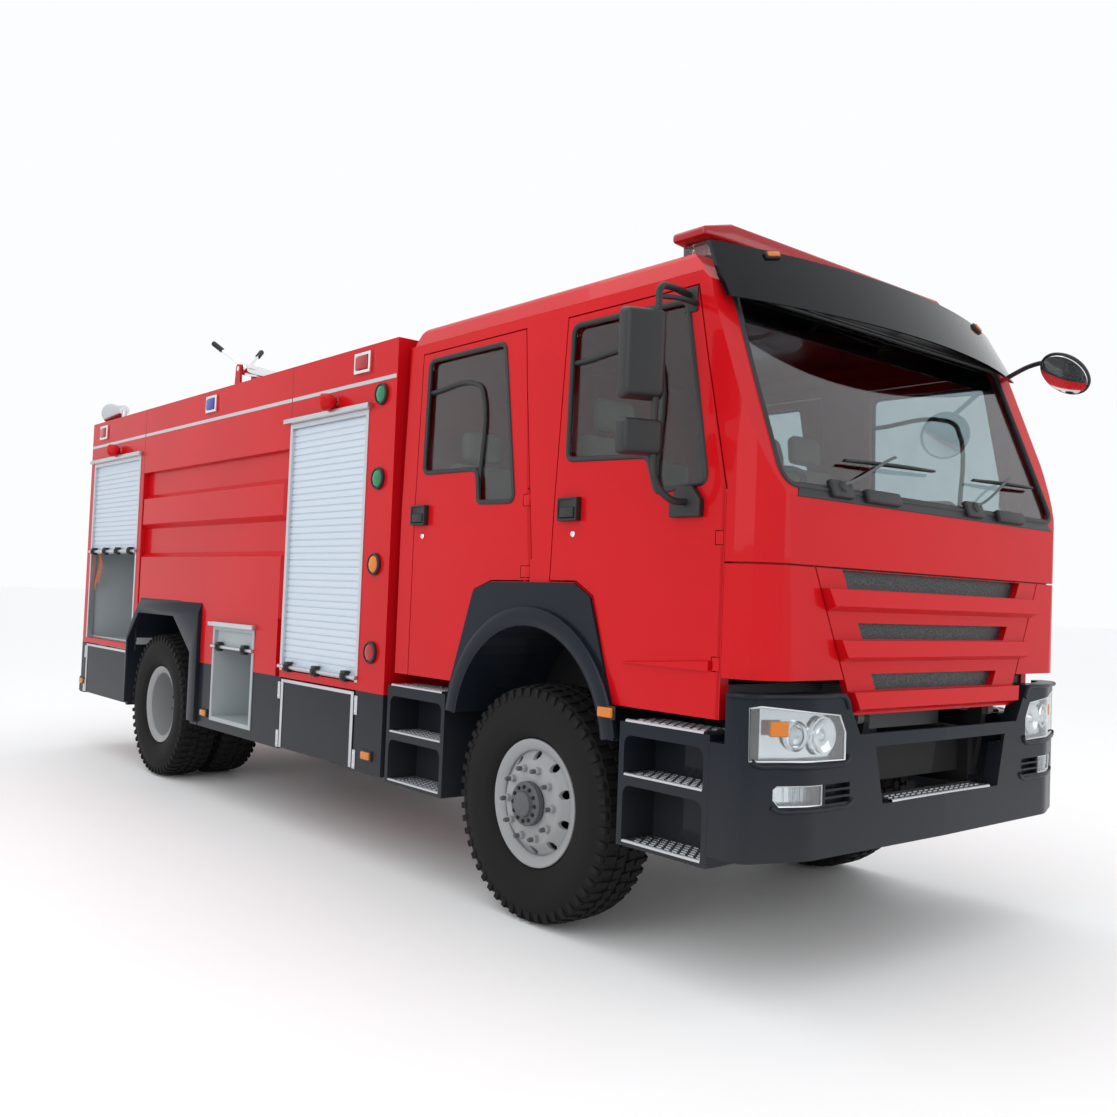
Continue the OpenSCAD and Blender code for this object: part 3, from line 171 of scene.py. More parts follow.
def grained(material, shader, height, strength):
    bump = add(material, "ShaderNodeBump", {"Height": height, "Strength": strength, "Distance": 0.001})
    wire(material, bump.outputs[0], shader, "Normal")


# %% [markdown]
# Fire-red two-pack enamel, sprayed and baked: a deep, even red under a hard clear gloss. The spray
# leaves a faint orange peel, drawn here a few times coarser than the real 2 mm so that it shows, and
# road dust dulls the lowest part.

# %% Red enamel
PEEL_MM = 12
DUST_TOP, DUST_FOOT, DUST_SHARE, DUST_COLOUR = 1.0, 0.45, 0.06, "#8a8378"


def sprayed_enamel(name, hex_colour, hex_shade, rough, coat):
    material, shader, place = finish(name, Roughness=rough, Specular_IOR_Level=0.06,
                                     Coat_Weight=coat, Coat_Roughness=0.03)
    tone = blend(material, cloud(material, place, 1.3, 3.0), linear(hex_colour), linear(hex_shade))
    height = add(material, "ShaderNodeSeparateXYZ", {"Vector": place}).outputs["Z"]
    dust = spread(material, height, 0.0, DUST_SHARE, DUST_TOP, DUST_FOOT)
    wire(material, blend(material, dust, tone, linear(DUST_COLOUR)), shader, "Base Color")
    grained(material, shader, cloud(material, place, 1000 / PEEL_MM, 1.0), 0.02)
    return material


red_enamel = sprayed_enamel("fire_red_enamel", "#c60f18", "#b40b13", 0.32, 0.25)
slate_enamel = sprayed_enamel("slate_grey_enamel", "#1a2029", "#161b23", 0.4, 0.2)
chassis_paint = sprayed_enamel("black_chassis_paint", "#1b1c1e", "#232325", 0.5, 0.1)
wheel_paint = sprayed_enamel("silver_wheel_paint", "#9b9d9f", "#8b8c8e", 0.42, 0.2)
locker_paint = sprayed_enamel("pale_grey_locker_paint", "#aab1b4", "#9ea5a8", 0.5, 0.1)

# %% [markdown]
# Rubber, moulded plastic, bare metals and glass follow, each with the grain its making leaves.

# %% Rubber and plastics
def moulded(name, hex_colour, rough, grain_mm, strength, fade=0.8, shine=0.5):
    material, shader, place = finish(name, Roughness=rough, Specular_IOR_Level=shine)
    blotch = cloud(material, place, 4.0, 4.0)
    tone = blend(material, blotch, linear(hex_colour), linear(hex_colour, fade))
    wire(material, tone, shader, "Base Color")
    grained(material, shader, cloud(material, place, 1000 / grain_mm, 4.0), strength)
    return material


tyre_rubber = moulded("tyre_rubber", "#141213", 0.8, 9, 0.25, shine=0.25)
black_abs = moulded("grained_black_abs", "#17181a", 0.5, 6, 0.15)
trim_grey = moulded("grey_cab_trim", "#4a4b4e", 0.6, 6, 0.2)
seat_cloth = moulded("woven_seat_cloth", "#b3a48d", 0.85, 5, 0.5)
cast_grey = moulded("cast_iron_grey", "#55575a", 0.62, 14, 0.3)
orange_webbing = moulded("orange_webbing", "#e0641c", 0.85, 3, 0.5)
floor_sheet = moulded("pale_floor_sheet", "#fbfbfb", 0.6, 40, 0.02, 0.97)
floor.data.materials.append(floor_sheet)

# %% Woven wire behind the grille slots
WIRE_CELL_MM, WIRE_SHARE = 16, 0.12
grille_wire, wire_shader, wire_place = finish("black_woven_wire", Roughness=0.45)
cells = add(grille_wire, "ShaderNodeTexVoronoi", {"Vector": wire_place, "Scale": 1000 / WIRE_CELL_MM},
            feature="DISTANCE_TO_EDGE")
hole = add(grille_wire, "ShaderNodeMath", {0: cells.outputs["Distance"], 1: WIRE_SHARE},
           operation="GREATER_THAN")
web = blend(grille_wire, hole.outputs[0], linear("#33363a"), linear("#050506"))
wire(grille_wire, web, wire_shader, "Base Color")

# %% Bare metals
def bright_metal(name, hex_colour, rough, streak_mm, metal=1.0):
    material, shader, place = finish(name, Metallic=metal, Roughness=rough, Base_Color=linear(hex_colour))
    stretch = add(material, "ShaderNodeMapping", {"Vector": place, "Scale": (1, 0.03, 1)}).outputs[0]
    streak = cloud(material, stretch, 1000 / streak_mm, 3.0)
    wire(material, spread(material, streak, rough * 0.75, rough * 1.3), shader, "Roughness")
    return material


mill_aluminium = bright_metal("mill_finish_aluminium", "#c9ccd0", 0.34, 8)
anodised_slats = bright_metal("anodised_slats", "#c8d2dd", 0.45, 10, 0.4)
chrome_plate = bright_metal("chrome_plate", "#e6e8ea", 0.08, 30)

# %% [markdown]
# Glass and lamp lenses let light through. What tells them from a perfect solid is a thin, uneven film
# of dust, so a cloud of about 150 mm changes both their tint and their haze a little.

# %% Glass and lenses
FILM_MM, FILM_SHARE, FILM_HAZE = 150, 0.86, 0.03


def lens(name, hex_colour, rough, through, ior=1.5):
    material, shader, place = finish(name, Transmission_Weight=through, IOR=ior)
    film = cloud(material, place, 1000 / FILM_MM, 5.0)
    tone = blend(material, film, linear(hex_colour), linear(hex_colour, FILM_SHARE))
    wire(material, tone, shader, "Base Color")
    wire(material, spread(material, film, rough, rough + FILM_HAZE), shader, "Roughness")
    return material


tinted_glass = lens("tinted_safety_glass", "#c6d3d6", 0.0, 1.0, 1.45)
smoked_acrylic = lens("smoked_acrylic", "#0c0f12", 0.03, 0.2, 1.24)
clear_lens = lens("clear_polycarbonate", "#f2f6f8", 0.02, 0.95, 1.58)
red_lens = lens("red_polycarbonate", "#c4101c", 0.1, 0.35)
amber_lens = lens("amber_polycarbonate", "#f08a1c", 0.1, 0.3)
green_lens = lens("green_polycarbonate", "#0f8f5a", 0.1, 0.3)
blue_lens = lens("blue_polycarbonate", "#1c3fae", 0.1, 0.3)

# %% [markdown]
# Each node of the CAD model takes the finish of its material slot in the record.

# %% Finishes onto the CAD nodes
FINISH = {
    "chassis_black": chassis_paint, "engine_grey": cast_grey, "aluminium": mill_aluminium,
    "tyre_rubber": tyre_rubber, "rim_silver": wheel_paint, "slate_grey": slate_enamel,
    "lamp_plastic": amber_lens, "fire_red": red_enamel, "shutter_grey": anodised_slats,
    "monitor_chrome": chrome_plate, "cab_grey": trim_grey, "black_plastic": black_abs,
    "visor_dark": smoked_acrylic, "beacon_red": red_lens, "seat_cloth": seat_cloth, "glass": tinted_glass,
}
for part in frame["record"]["subparts"]:
    mesh = nodes[part["node"]].data
    mesh.materials.clear()
    mesh.materials.append(FINISH[part["material_slot"]])
nodes["grille_mesh"].data.materials[0] = grille_wire
nodes["outlet_boxes"].data.materials[0] = locker_paint
print(len(FINISH), "finishes on", len(nodes), "nodes")

# %% [markdown]
# The small pieces are made as at a bench: a plain start, then cuts, turns and eased edges. These few
# tools are used by all of them. Places are given from the middle of the front axle at floor level,
# or by how far they stand out from the left side of the body or of the cab.

# %% Places, picking and settling
X, Y, Z = Vector((1, 0, 0)), Vector((0, 1, 0)), Vector((0, 0, 1))
SIDES = {"right": -1, "left": 1}
body_x, cab_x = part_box("tank_body")[1].x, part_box("cab_frame")[1].x
body_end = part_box("rear_locker")[1].y - axle_y
SUNK = -0.001  # trim is let this far into the skin, so that no gap shows


def at(x, y, z):
    return Vector((x, y + axle_y, z))


def on_body(out, y, z):
    return at(body_x + out, y, z)


def on_cab(out, y, z):
    return at(cab_x + out, y, z)


def clear():
    if bpy.context.mode != "OBJECT":
        bpy.ops.object.mode_set(mode="OBJECT")
    bpy.ops.object.select_all(action="DESELECT")


def pick(*pieces):
    clear()
    for piece in pieces:
        piece.select_set(True)
    bpy.context.view_layer.objects.active = pieces[0]


def settle(piece):
    pick(piece)
    bpy.ops.object.transform_apply(location=True, rotation=True, scale=True)
    return piece


def opened(piece):
    pick(piece)
    bpy.ops.object.mode_set(mode="EDIT")
    bpy.ops.mesh.select_mode(type="VERT")
    bpy.ops.mesh.select_all(action="SELECT")


def shut(piece):
    bpy.ops.object.mode_set(mode="OBJECT")
    return piece


def sound(piece, doubles=1e-5):
    opened(piece)
    bpy.ops.mesh.remove_doubles(threshold=doubles)
    bpy.ops.mesh.normals_make_consistent(inside=False)
    return shut(piece)


# %% Blocks, and work on their faces
def eased(piece, mm, segments=2):
    pick(piece)
    bevel = piece.modifiers.new("eased", "BEVEL")
    bevel.width, bevel.segments = mm / 1000, segments
    bevel.limit_method, bevel.angle_limit = "ANGLE", math.radians(35)
    bpy.ops.object.modifier_apply(modifier="eased")
    return piece


def slab(lo, hi, mm=0, segments=2):
    clear()
    lo, hi = Vector(lo), Vector(hi)
    bpy.ops.mesh.primitive_cube_add(size=1, location=(lo + hi) / 2, scale=hi - lo)
    piece = settle(bpy.context.object)
    return eased(piece, mm, segments) if mm else piece


def faces(piece, test):
    pick(piece)
    bpy.ops.object.mode_set(mode="EDIT")
    bpy.ops.mesh.select_mode(type="FACE")
    bpy.ops.mesh.select_all(action="DESELECT")
    bpy.ops.object.mode_set(mode="OBJECT")
    for face in piece.data.polygons:
        face.select = bool(test(face))
    bpy.ops.object.mode_set(mode="EDIT")


# The faces that look along way are inset, pulled out or in, scaled and slid, as asked for.
def worked(piece, way, inset=0, pull=None, scale=None, slide=None):
    faces(piece, lambda face: face.normal.dot(way) > 0.9)
    if inset:
        bpy.ops.mesh.inset(thickness=inset)
    if pull:
        bpy.ops.mesh.extrude_region_move(TRANSFORM_OT_translate={"value": pull})
    if scale:
        bpy.ops.transform.resize(value=scale)
    if slide:
        bpy.ops.transform.translate(value=slide)
    return shut(piece)


# %% Turned forms, plates and rods
def turned(profile, steps=40, ring=False):
    clear()
    bpy.ops.mesh.primitive_circle_add(vertices=steps, radius=profile[0][0], location=(0, 0, profile[0][1]),
                                      fill_type="NOTHING" if ring else "NGON")
    piece = settle(bpy.context.object)
    opened(piece)
    for (r, z), (r_next, z_next) in zip(profile, profile[1:]):
        bpy.ops.mesh.extrude_region_move()
        bpy.ops.transform.resize(value=(r_next / r, r_next / r, 1), center_override=(0, 0, z))
        bpy.ops.transform.translate(value=(0, 0, z_next - z))
    return sound(piece)


def loop(profile, steps=64):
    return turned(profile + profile[:1], steps, ring=True)


def spun(piece, count, phase=0.0):
    opened(piece)
    bpy.ops.mesh.spin(steps=count - 1, dupli=True, angle=2 * math.pi * (count - 1) / count,
                      center=(0, 0, 0), axis=(0, 0, 1))
    shut(piece).rotation_euler.z = phase
    return settle(piece)


def aimed(piece, place, axis):
    turn = Z.rotation_difference(Vector(axis)).to_matrix().to_4x4()
    piece.matrix_world = Matrix.Translation(place) @ turn
    return settle(piece)


def plate(points, depth, mm=0):
    clear()
    bpy.ops.mesh.primitive_circle_add(vertices=len(points), fill_type="NGON")
    piece = settle(bpy.context.object)
    for vertex, point in zip(piece.data.vertices, points):
        vertex.co = point
    opened(piece)
    bpy.ops.mesh.extrude_region_move(TRANSFORM_OT_translate={"value": depth})
    sound(piece)
    return eased(piece, mm) if mm else piece


def rod(points, mm, sides=3, closed=False, smooth=6):
    clear()
    bpy.ops.curve.primitive_bezier_curve_add(location=(0, 0, 0))
    curve = bpy.context.object
    spline = curve.data.splines[0]
    spline.bezier_points.add(len(points) - 2)
    for knot, point in zip(spline.bezier_points, points):
        knot.co, knot.handle_left_type, knot.handle_right_type = point, "AUTO", "AUTO"
    spline.use_cyclic_u, curve.data.resolution_u = closed, smooth
    curve.data.bevel_depth, curve.data.bevel_resolution = mm / 2000, sides
    curve.data.use_fill_caps = True
    bpy.ops.object.convert(target="MESH")
    return sound(bpy.context.object)


# %% Paint, copies and fitting
def painted(piece, material):
    piece.data.materials.clear()
    piece.data.materials.append(material)
    return piece


def coat(material, *pieces):
    return [painted(piece, material) for piece in pieces]


def stock(lo, hi, material, mm, segments=2):
    return painted(slab(lo, hi, mm, segments), material)


def turning(profile, place, axis, material, steps=36):
    return painted(aimed(turned(profile, steps), place, axis), material)


def pipe(points, mm, material, sides=3):
    return painted(rod([at(*point) for point in points], mm, sides), material)


def bright_bar(start, stop, mm):
    return painted(rod([start, (start + stop) / 2, stop], mm), mill_aluminium)


def joined(*pieces):
    pick(*pieces)
    if len(pieces) > 1:
        bpy.ops.object.join()
    return bpy.context.object


def copied(piece, move=(0, 0, 0)):
    pick(piece)
    bpy.ops.object.duplicate()
    other = bpy.context.object
    other.parent = None
    other.location = move
    return settle(other)


def mirrored(piece):
    pick(piece)
    bpy.ops.object.duplicate()
    other = bpy.context.object
    other.scale.x = -1
    return sound(settle(other))


def fit(piece, name, body, replaced=()):
    pick(piece)
    piece.name = piece.data.name = name
    bpy.ops.object.shade_smooth_by_angle(angle=math.radians(32))
    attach(piece, body)
    if replaced:
        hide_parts(*replaced)
    print(name, "on", body + ":", len(piece.data.polygons), "faces")
    return piece


# One piece for the two sides: the left as made, and its mirror image.
def both(parts, name, body, replaced=()):
    one = joined(*parts)
    two = mirrored(one)
    return fit(joined(one, two), name, body, replaced)


# A piece for each side. Braces in a name stand for right or left.
def pair(piece, name, body, replaced=()):
    for side, one in (("right", mirrored(piece)), ("left", piece)):
        fit(one, name.format(side), body.format(side), [node.format(side) for node in replaced])


# %% [markdown]
# ## Tyres
# A truck tyre is moulded: a smooth wall, and a tread of ribs and shoulder lugs that stand up from the
# base. It could be one displaced surface, but real lugs cast real shadows at the tyre's edge. So the
# wall is drawn round from its outline, one lug of each row is cut, and a spin repeats it.

# %% One tyre, on its own axis
TYRE_WALL = [(0.2575, 0.104), (0.302, 0.104), (0.316, 0.125), (0.345, 0.143), (0.352, 0.1445), (0.39, 0.154),
             (0.43, 0.1562), (0.47, 0.1535), (0.474, 0.1515), (0.505, 0.147), (0.533, 0.138), (0.546, 0.122),
             (0.5475, 0.06), (0.5475, 0.02)]
SHOULDER_LUGS, RIB_LUGS, RIB_LEAN = 52, 58, 0.35


def both_ways(profile):
    return profile + [(r, -z) for r, z in reversed(profile)]


# A nudge draws in the upper outer edge of the lug, and a lean turns it about its middle.
def lug_row(lo, hi, count, lean=0.0, nudge=0.0):
    lug = slab(lo, hi)
    middle = (Vector(lo) + Vector(hi)) / 2
    for vertex in lug.data.vertices:
        if vertex.co.z > middle.z and vertex.co.x > middle.x:
            vertex.co.x += nudge
    eased(lug, 2, 1)
    middle.x = 0
    tilt = Matrix.Rotation(lean, 4, "X")
    lug.matrix_world = Matrix.Translation(middle) @ tilt @ Matrix.Translation(-middle)
    return spun(settle(lug), count)


rows = [lug_row((0.535, -0.017, 0.066), (0.560, 0.017, 0.127), SHOULDER_LUGS, nudge=-0.009),
        lug_row((0.500, -0.015, 0.134), (0.547, 0.015, 0.1515), SHOULDER_LUGS, nudge=-0.004),
        lug_row((0.543, -0.0245, 0.010), (0.5597, 0.0245, 0.056), RIB_LUGS, lean=RIB_LEAN)]
half_tread = joined(*rows)
other_half = copied(half_tread)
other_half.rotation_euler = (math.pi, 0, math.pi / SHOULDER_LUGS)
settle(other_half)
tyre = joined(loop(both_ways(TYRE_WALL), 72), half_tread, other_half)
aimed(tyre, (0, 0, 0), X)
painted(tyre, tyre_rubber)
print("tyre:", len(tyre.data.polygons), "faces")

# %% Tyres on the wheels
HALF_TYRE = 0.1565
for side in SIDES:
    for body, node in (("front_wheel_", "tyre_front_"), ("rear_wheels_", "tyres_rear_")):
        lo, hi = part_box(node + side)
        hub = centre(node + side)
        spots = [hub.x] if node == "tyre_front_" else [lo.x + HALF_TYRE, hi.x - HALF_TYRE]
        made = joined(*[copied(tyre, (x, hub.y, hub.z)) for x in spots])
        fit(made, node + side + "_tread", body + side, [node + side])
bpy.data.objects.remove(tyre)

# %% [markdown]
# ## Window rubbers and sliding bars
# Each door pane sits in a black rubber channel, and a bar divides it where a pane slides. A tube drawn
# along the pane's outline gives the round lip of the rubber, which a flat frame wouldn't.

# %% Rubbers of the door windows
waist_z, eaves_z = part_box("front_panels")[1].z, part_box("cab_roof")[0].z
LEAN_IN = 0.02


# Each point has its place and the radius of its corner.
def filleted(points, steps=5):
    made = []
    for i, point in enumerate(points):
        corner = Vector(point[:2])
        before = Vector(points[i - 1][:2]) - corner
        after = Vector(points[(i + 1) % len(points)][:2]) - corner
        reach = point[2] / math.tan(before.angle(after) / 2)
        start, stop = corner + before.normalized() * reach, corner + after.normalized() * reach
        for k in range(steps + 1):
            t = k / steps
            made.append((1 - t) ** 2 * start + 2 * t * (1 - t) * corner + t * t * stop)
    return made


def door_skin(z):
    return cab_x - max(0, z - waist_z) * LEAN_IN / (eaves_z - waist_z)


PANES = {
    "front_door": [(-0.215, 2.175, 0.04), (-0.21, 2.8, 0.05), (-0.93, 2.79, 0.05), (-1.085, 2.025, 0.04),
                   (-0.8, 1.998, 0.03), (-0.74, 2.155, 0.06)],
    "rear_door": [(0.985, 2.8, 0.05), (0.312, 2.8, 0.05), (0.172, 1.998, 0.04), (0.47, 2.005, 0.03),
                  (0.495, 2.178, 0.06), (0.985, 2.185, 0.04)],
}
BARS = {
    "front_door": [(-0.222, 2.625), (-0.7, 2.625), (-0.768, 2.575), (-0.785, 2.02)],
    "rear_door": [(0.975, 2.625), (0.56, 2.625), (0.497, 2.575), (0.49, 2.03)],
}
for door in PANES:
    lip = rod([at(door_skin(z) - 0.003, y, z) for y, z in filleted(PANES[door])], 27, closed=True, smooth=2)
    slide = rod([at(door_skin(z) - 0.014, y, z) for y, z in BARS[door]], 26)
    rubber = painted(joined(lip, slide), black_abs)
    pair(rubber, "window_rubber_" + door + "_{}", door + "_{}")

# %% [markdown]
# ## Door handles and locks
# A door handle is a moulded cup with a paddle in its lower half, and a chromed key cylinder under it.
# The cup is a block whose face is inset and pushed in.

# %% Door handles
KEY = [(0.015, 0.0), (0.015, 0.005), (0.012, 0.008), (0.004, 0.008), (0.0035, 0.005)]
HANDLES = (("front_door", -0.26, 1.945), ("rear_door", 0.985, 1.955))


def door_handle(y, z):
    cup = slab(on_cab(-0.0015, y - 0.068, z - 0.056), on_cab(0.032, y + 0.068, z + 0.052))
    worked(cup, X, inset=0.011, pull=(-0.008, 0, 0))
    paddle = slab(on_cab(0.023, y - 0.05, z - 0.044), on_cab(0.0355, y + 0.05, z + 0.008))
    worked(paddle, X, scale=(1, 0.9, 0.8))
    key = turning(KEY, on_cab(-0.0005, y - 0.02, z - 0.115), X, chrome_plate, 20)
    return joined(*coat(black_abs, eased(cup, 4), eased(paddle, 4)), key)


for door, y, z in HANDLES:
    pair(door_handle(y, z), "handle_" + door + "_{}", door + "_{}")

# %% [markdown]
# ## Door mirrors
# Each front door carries a tall mirror and a wide-angle one on a bent black tube. The housings are
# moulded shells with full, soft corners, and the glass looks back along the truck.

# %% Mirrors
MIRROR_TUBE = [(1.232, -1.0, 1.945), (1.33, -0.99, 1.95), (1.4, -0.972, 2.02), (1.411, -0.97, 2.1),
               (1.411, -0.97, 2.4), (1.411, -0.97, 2.72), (1.4, -0.966, 2.795), (1.34, -0.955, 2.815),
               (1.19, -0.94, 2.806)]
MIRROR_BRACE = [(1.405, -0.968, 2.76), (1.3, -0.98, 2.77), (1.19, -0.985, 2.765)]
MIRROR_TURN = math.radians(24)


def mirror_head(z0, z1):
    shell = slab((-0.1, -0.042, z0), (0.1, 0.042, z1))
    worked(shell, -Y, scale=(0.82, 1, 0.9))
    glass = stock((-0.085, 0.0405, z0 + 0.014), (0.085, 0.0455, z1 - 0.014), chrome_plate, 2)
    head = joined(painted(eased(shell, 24, 5), black_abs), glass)
    head.rotation_euler.z = MIRROR_TURN
    head.location = at(1.46, -0.94, 0)
    return settle(head)


foot = slab(on_cab(-0.0015, -1.075, 1.885), on_cab(0.032, -0.905, 1.955))
worked(foot, Z, pull=(0, 0, 0.055), scale=(1, 0.45, 1))
pad = slab(on_cab(-0.021, -0.99, 2.735), on_cab(-0.009, -0.92, 2.84), 5)
arm = [pipe(MIRROR_TUBE, 30, black_abs), pipe(MIRROR_BRACE, 22, black_abs)]
arm += coat(black_abs, eased(foot, 7, 3), pad)
arm += [mirror_head(2.335, 2.715), mirror_head(2.115, 2.265)]
pair(joined(*arm), "door_mirrors_{}", "front_door_{}", ["mirrors_{}"])

# %% [markdown]
# ## Windscreen surround and wipers
# The screen lies in a black rubber, over a black plastic cowl. Two sprung arms of dark steel rise
# from their spindles and press a long rubber blade to the glass. They are laid out flat, as on the
# glass, and then tipped up with it.

# %% Cowl, rubber and wipers
SCREEN_Y, SCREEN_SLOPE = -1.39, 0.391
SCREEN_UP = Vector((0, 0.3642, 0.9313))
SCREEN = [(-1.1, 2.015, 0.09), (1.1, 2.015, 0.09), (1.065, 2.845, 0.06), (-1.065, 2.845, 0.06)]
SPINDLE = [(0.03, -0.004), (0.03, 0.02), (0.022, 0.034), (0.012, 0.038)]


def on_glass(piece):
    lean = Matrix((X, SCREEN_UP, X.cross(SCREEN_UP))).transposed().to_4x4()
    piece.matrix_world = Matrix.Translation(at(0, SCREEN_Y, waist_z)) @ lean
    return settle(piece)


def wiper(x0, tip, start, stop):
    spindle = turning(SPINDLE, (x0, 0.055, 0), Z, black_abs, 24)
    boss = stock((x0 - 0.075, 0.01, -0.002), (x0 + 0.07, 0.085, 0.026), black_abs, 8, 3)
    bends = [(x0, 0.06, 0.034), (x0 + 0.08, 0.085, 0.04),
             (tip[0] - 0.06, tip[1] - 0.02, 0.036), (*tip, 0.024)]
    steel = painted(rod(bends, 13), cast_grey)
    middle = ((start[0] + stop[0]) / 2, (start[1] + stop[1]) / 2)
    spine = painted(rod([(*start, 0.012), (*middle, 0.022), (*stop, 0.012)], 12), black_abs)
    lip = slab((start[0], -0.002, -0.001), (stop[0], 0.003, 0.013))
    for vertex in lip.data.vertices:
        vertex.co.y += start[1] if vertex.co.x < tip[0] else stop[1]
    return [spindle, boss, steel, spine, painted(lip, tyre_rubber)]


sweepers = wiper(-0.74, (-0.264, 0.245), (-0.648, 0.192), (0.059, 0.22))
sweepers += wiper(0.3, (0.756, 0.254), (0.395, 0.213), (0.988, 0.231))
sweepers += [stock((x, 0.006, -0.002), (x + 0.25, 0.062, 0.03), black_abs, 9, 3) for x in (-0.58, 0.5)]
fit(on_glass(joined(*sweepers)), "wiper_arms", "cab", ["wipers"])
cowl = worked(slab((-1.03, -0.004, -0.02), (1.05, 0.062, 0.004)), Y, scale=(0.97, 1, 1))
fit(on_glass(painted(eased(cowl, 4), black_abs)), "cowl_strip", "cab")
outline = [at(x, SCREEN_Y + (z - waist_z) * SCREEN_SLOPE + 0.003, z) for x, z in filleted(SCREEN)]
seal = rod(outline, 26, closed=True, smooth=2)
fit(painted(seal, black_abs), "windscreen_rubber", "cab")

# %% [markdown]
# ## Headlamps and fog lamps
# Behind a clear moulded lens sit a bright reflector, a projector in a ring and an amber indicator. The
# lens has to follow the bowed bumper, so its skin is lifted from a copy of the CAD lamp: only the
# faces that look forward are kept, and a thickness is given to them.

# %% Skins of the lamps in the bumper
FORWARD = Vector((0.45, -0.893, 0))


def walled(piece, mm):
    pick(piece)
    wall = piece.modifiers.new("wall", "SOLIDIFY")
    wall.thickness, wall.offset = mm / 1000, -1
    bpy.ops.object.modifier_apply(modifier="wall")
    return piece


def rimmed(skin, mm):
    copied(skin)
    bpy.ops.object.mode_set(mode="EDIT")
    bpy.ops.mesh.select_all(action="SELECT")
    bpy.ops.mesh.region_to_loop()
    bpy.ops.mesh.select_all(action="INVERT")
    bpy.ops.mesh.delete(type="EDGE")
    bpy.ops.object.mode_set(mode="OBJECT")
    bpy.ops.object.convert(target="CURVE")
    ring = bpy.context.object
    ring.data.bevel_depth, ring.data.bevel_resolution = mm / 2000, 2
    bpy.ops.object.convert(target="MESH")
    return sound(bpy.context.object)


opened(sound(copied(nodes["lamps"]), 1e-4))
bpy.ops.mesh.separate(type="LOOSE")
bpy.ops.object.mode_set(mode="OBJECT")
skins = {}
for part in list(bpy.context.selected_objects):
    middle = sum((v.co for v in part.data.vertices), Vector()) / len(part.data.vertices)
    if middle.y - axle_y < -1.2 and middle.x > 0:
        skins["head" if middle.z > 0.9 else "fog"] = part
    else:
        bpy.data.objects.remove(part)
print("lamp skins:", sorted(skins))

# %% Lamps in the bumper
RING = [(0.044, 0), (0.058, 0), (0.06, 0.02), (0.052, 0.026), (0.044, 0.018)]
BALL = [(0.04, 0.004), (0.036, 0.016), (0.024, 0.026), (0.004, 0.03)]
BOWL = [(0.074, 0.0), (0.078, 0.02), (0.07, 0.02), (0.05, 0.008), (0.018, 0.002), (0.012, 0.02),
        (0.002, 0.022)]
BUMPER_TURN = math.radians(20.4)


def projector_and_indicator():
    place, axis = at(0.995, -1.376, 1.035), (0.1, -1, 0)
    amber = slab((-0.042, -0.01, -0.03), (0.042, 0.01, 0.03), 7, 3)
    amber.rotation_euler.z, amber.location = BUMPER_TURN, at(1.085, -1.3765, 1.065)
    return [painted(aimed(loop(RING, 36), place, axis), chrome_plate),
            turning(BALL, place, axis, clear_lens, 32),
            turning(BOWL, at(0.85, -1.392, 1.03), (0.05, -1, 0), chrome_plate),
            painted(settle(amber), amber_lens)]


def flutes():
    return [stock(at(x, -1.412, 0.775), at(x + 0.004, -1.385, 0.84), clear_lens, 0)
            for x in (0.9, 0.93, 0.96, 0.99, 1.02)]


for kind, skin in skins.items():
    faces(skin, lambda face: face.normal.dot(FORWARD) < 0.5)
    bpy.ops.mesh.delete(type="FACE")
    bpy.ops.object.mode_set(mode="OBJECT")
    reflector = walled(copied(skin, (0, 0.04, 0)), 2)
    trim = rimmed(skin, 11)
    parts = [painted(walled(skin, 3), clear_lens), painted(reflector, chrome_plate),
             painted(trim, mill_aluminium)]
    parts += projector_and_indicator() if kind == "head" else flutes()
    pair(joined(*parts), kind + "lamp_{}", "chassis", ["lamps"])

# %% [markdown]
# ## Lamps on the body
# Warning lamps stand in bezels along the sides: four round ones, three strobes, amber markers low down
# and two search lamps over the shutters. A horn stands on the roof. Turned forms are drawn from their
# outline, and a whole family is one piece.

# %% Side lamps
def disc_lamp(place, glass, axis=X):
    ring = [(0.0635, 0), (0.0635, 0.014), (0.059, 0.021), (0.052, 0.021), (0.05, 0.012)]
    dome = [(0.05, 0.008), (0.05, 0.015), (0.042, 0.021), (0.024, 0.025), (0.004, 0.026)]
    return [turning(ring, place, axis, black_abs), turning(dome, place, axis, glass)]


def strobe(y, z, glass):
    bezel = slab(on_body(SUNK, y - 0.09, z - 0.062), on_body(0.022, y + 0.09, z + 0.062))
    worked(bezel, X, inset=0.02, pull=(-0.012, 0, 0))
    dome = stock(on_body(0.008, y - 0.068, z - 0.04), on_body(0.03, y + 0.068, z + 0.04), glass, 12, 4)
    return [painted(eased(bezel, 5), chrome_plate), dome]


def marker(y, z):
    base = stock(on_body(SUNK, y - 0.054, z - 0.029), on_body(0.008, y + 0.054, z + 0.029), black_abs, 3)
    dome = stock(on_body(0.006, y - 0.046, z - 0.022), on_body(0.022, y + 0.046, z + 0.022), amber_lens, 7, 3)
    return [base, dome]


def search_lamp(y, z):
    cup = [(0.02, -0.05), (0.042, -0.03), (0.052, 0.0), (0.054, 0.035), (0.05, 0.042), (0.047, 0.036)]
    glass = [(0.047, 0.03), (0.047, 0.036), (0.03, 0.042), (0.004, 0.044)]
    stem = [(0.03, 0), (0.03, 0.006), (0.014, 0.008), (0.014, 0.04)]
    place, axis = on_body(0.05, y, z), (0.75, 0.65, -0.1)
    return [turning(cup, place, axis, red_enamel, 32), turning(glass, place, axis, clear_lens, 32),
            turning(stem, on_body(0, y, z), X, chrome_plate, 24)]


def lamp_family(name, families):
    both(sum(families, []), name, "chassis", ["lamps"])


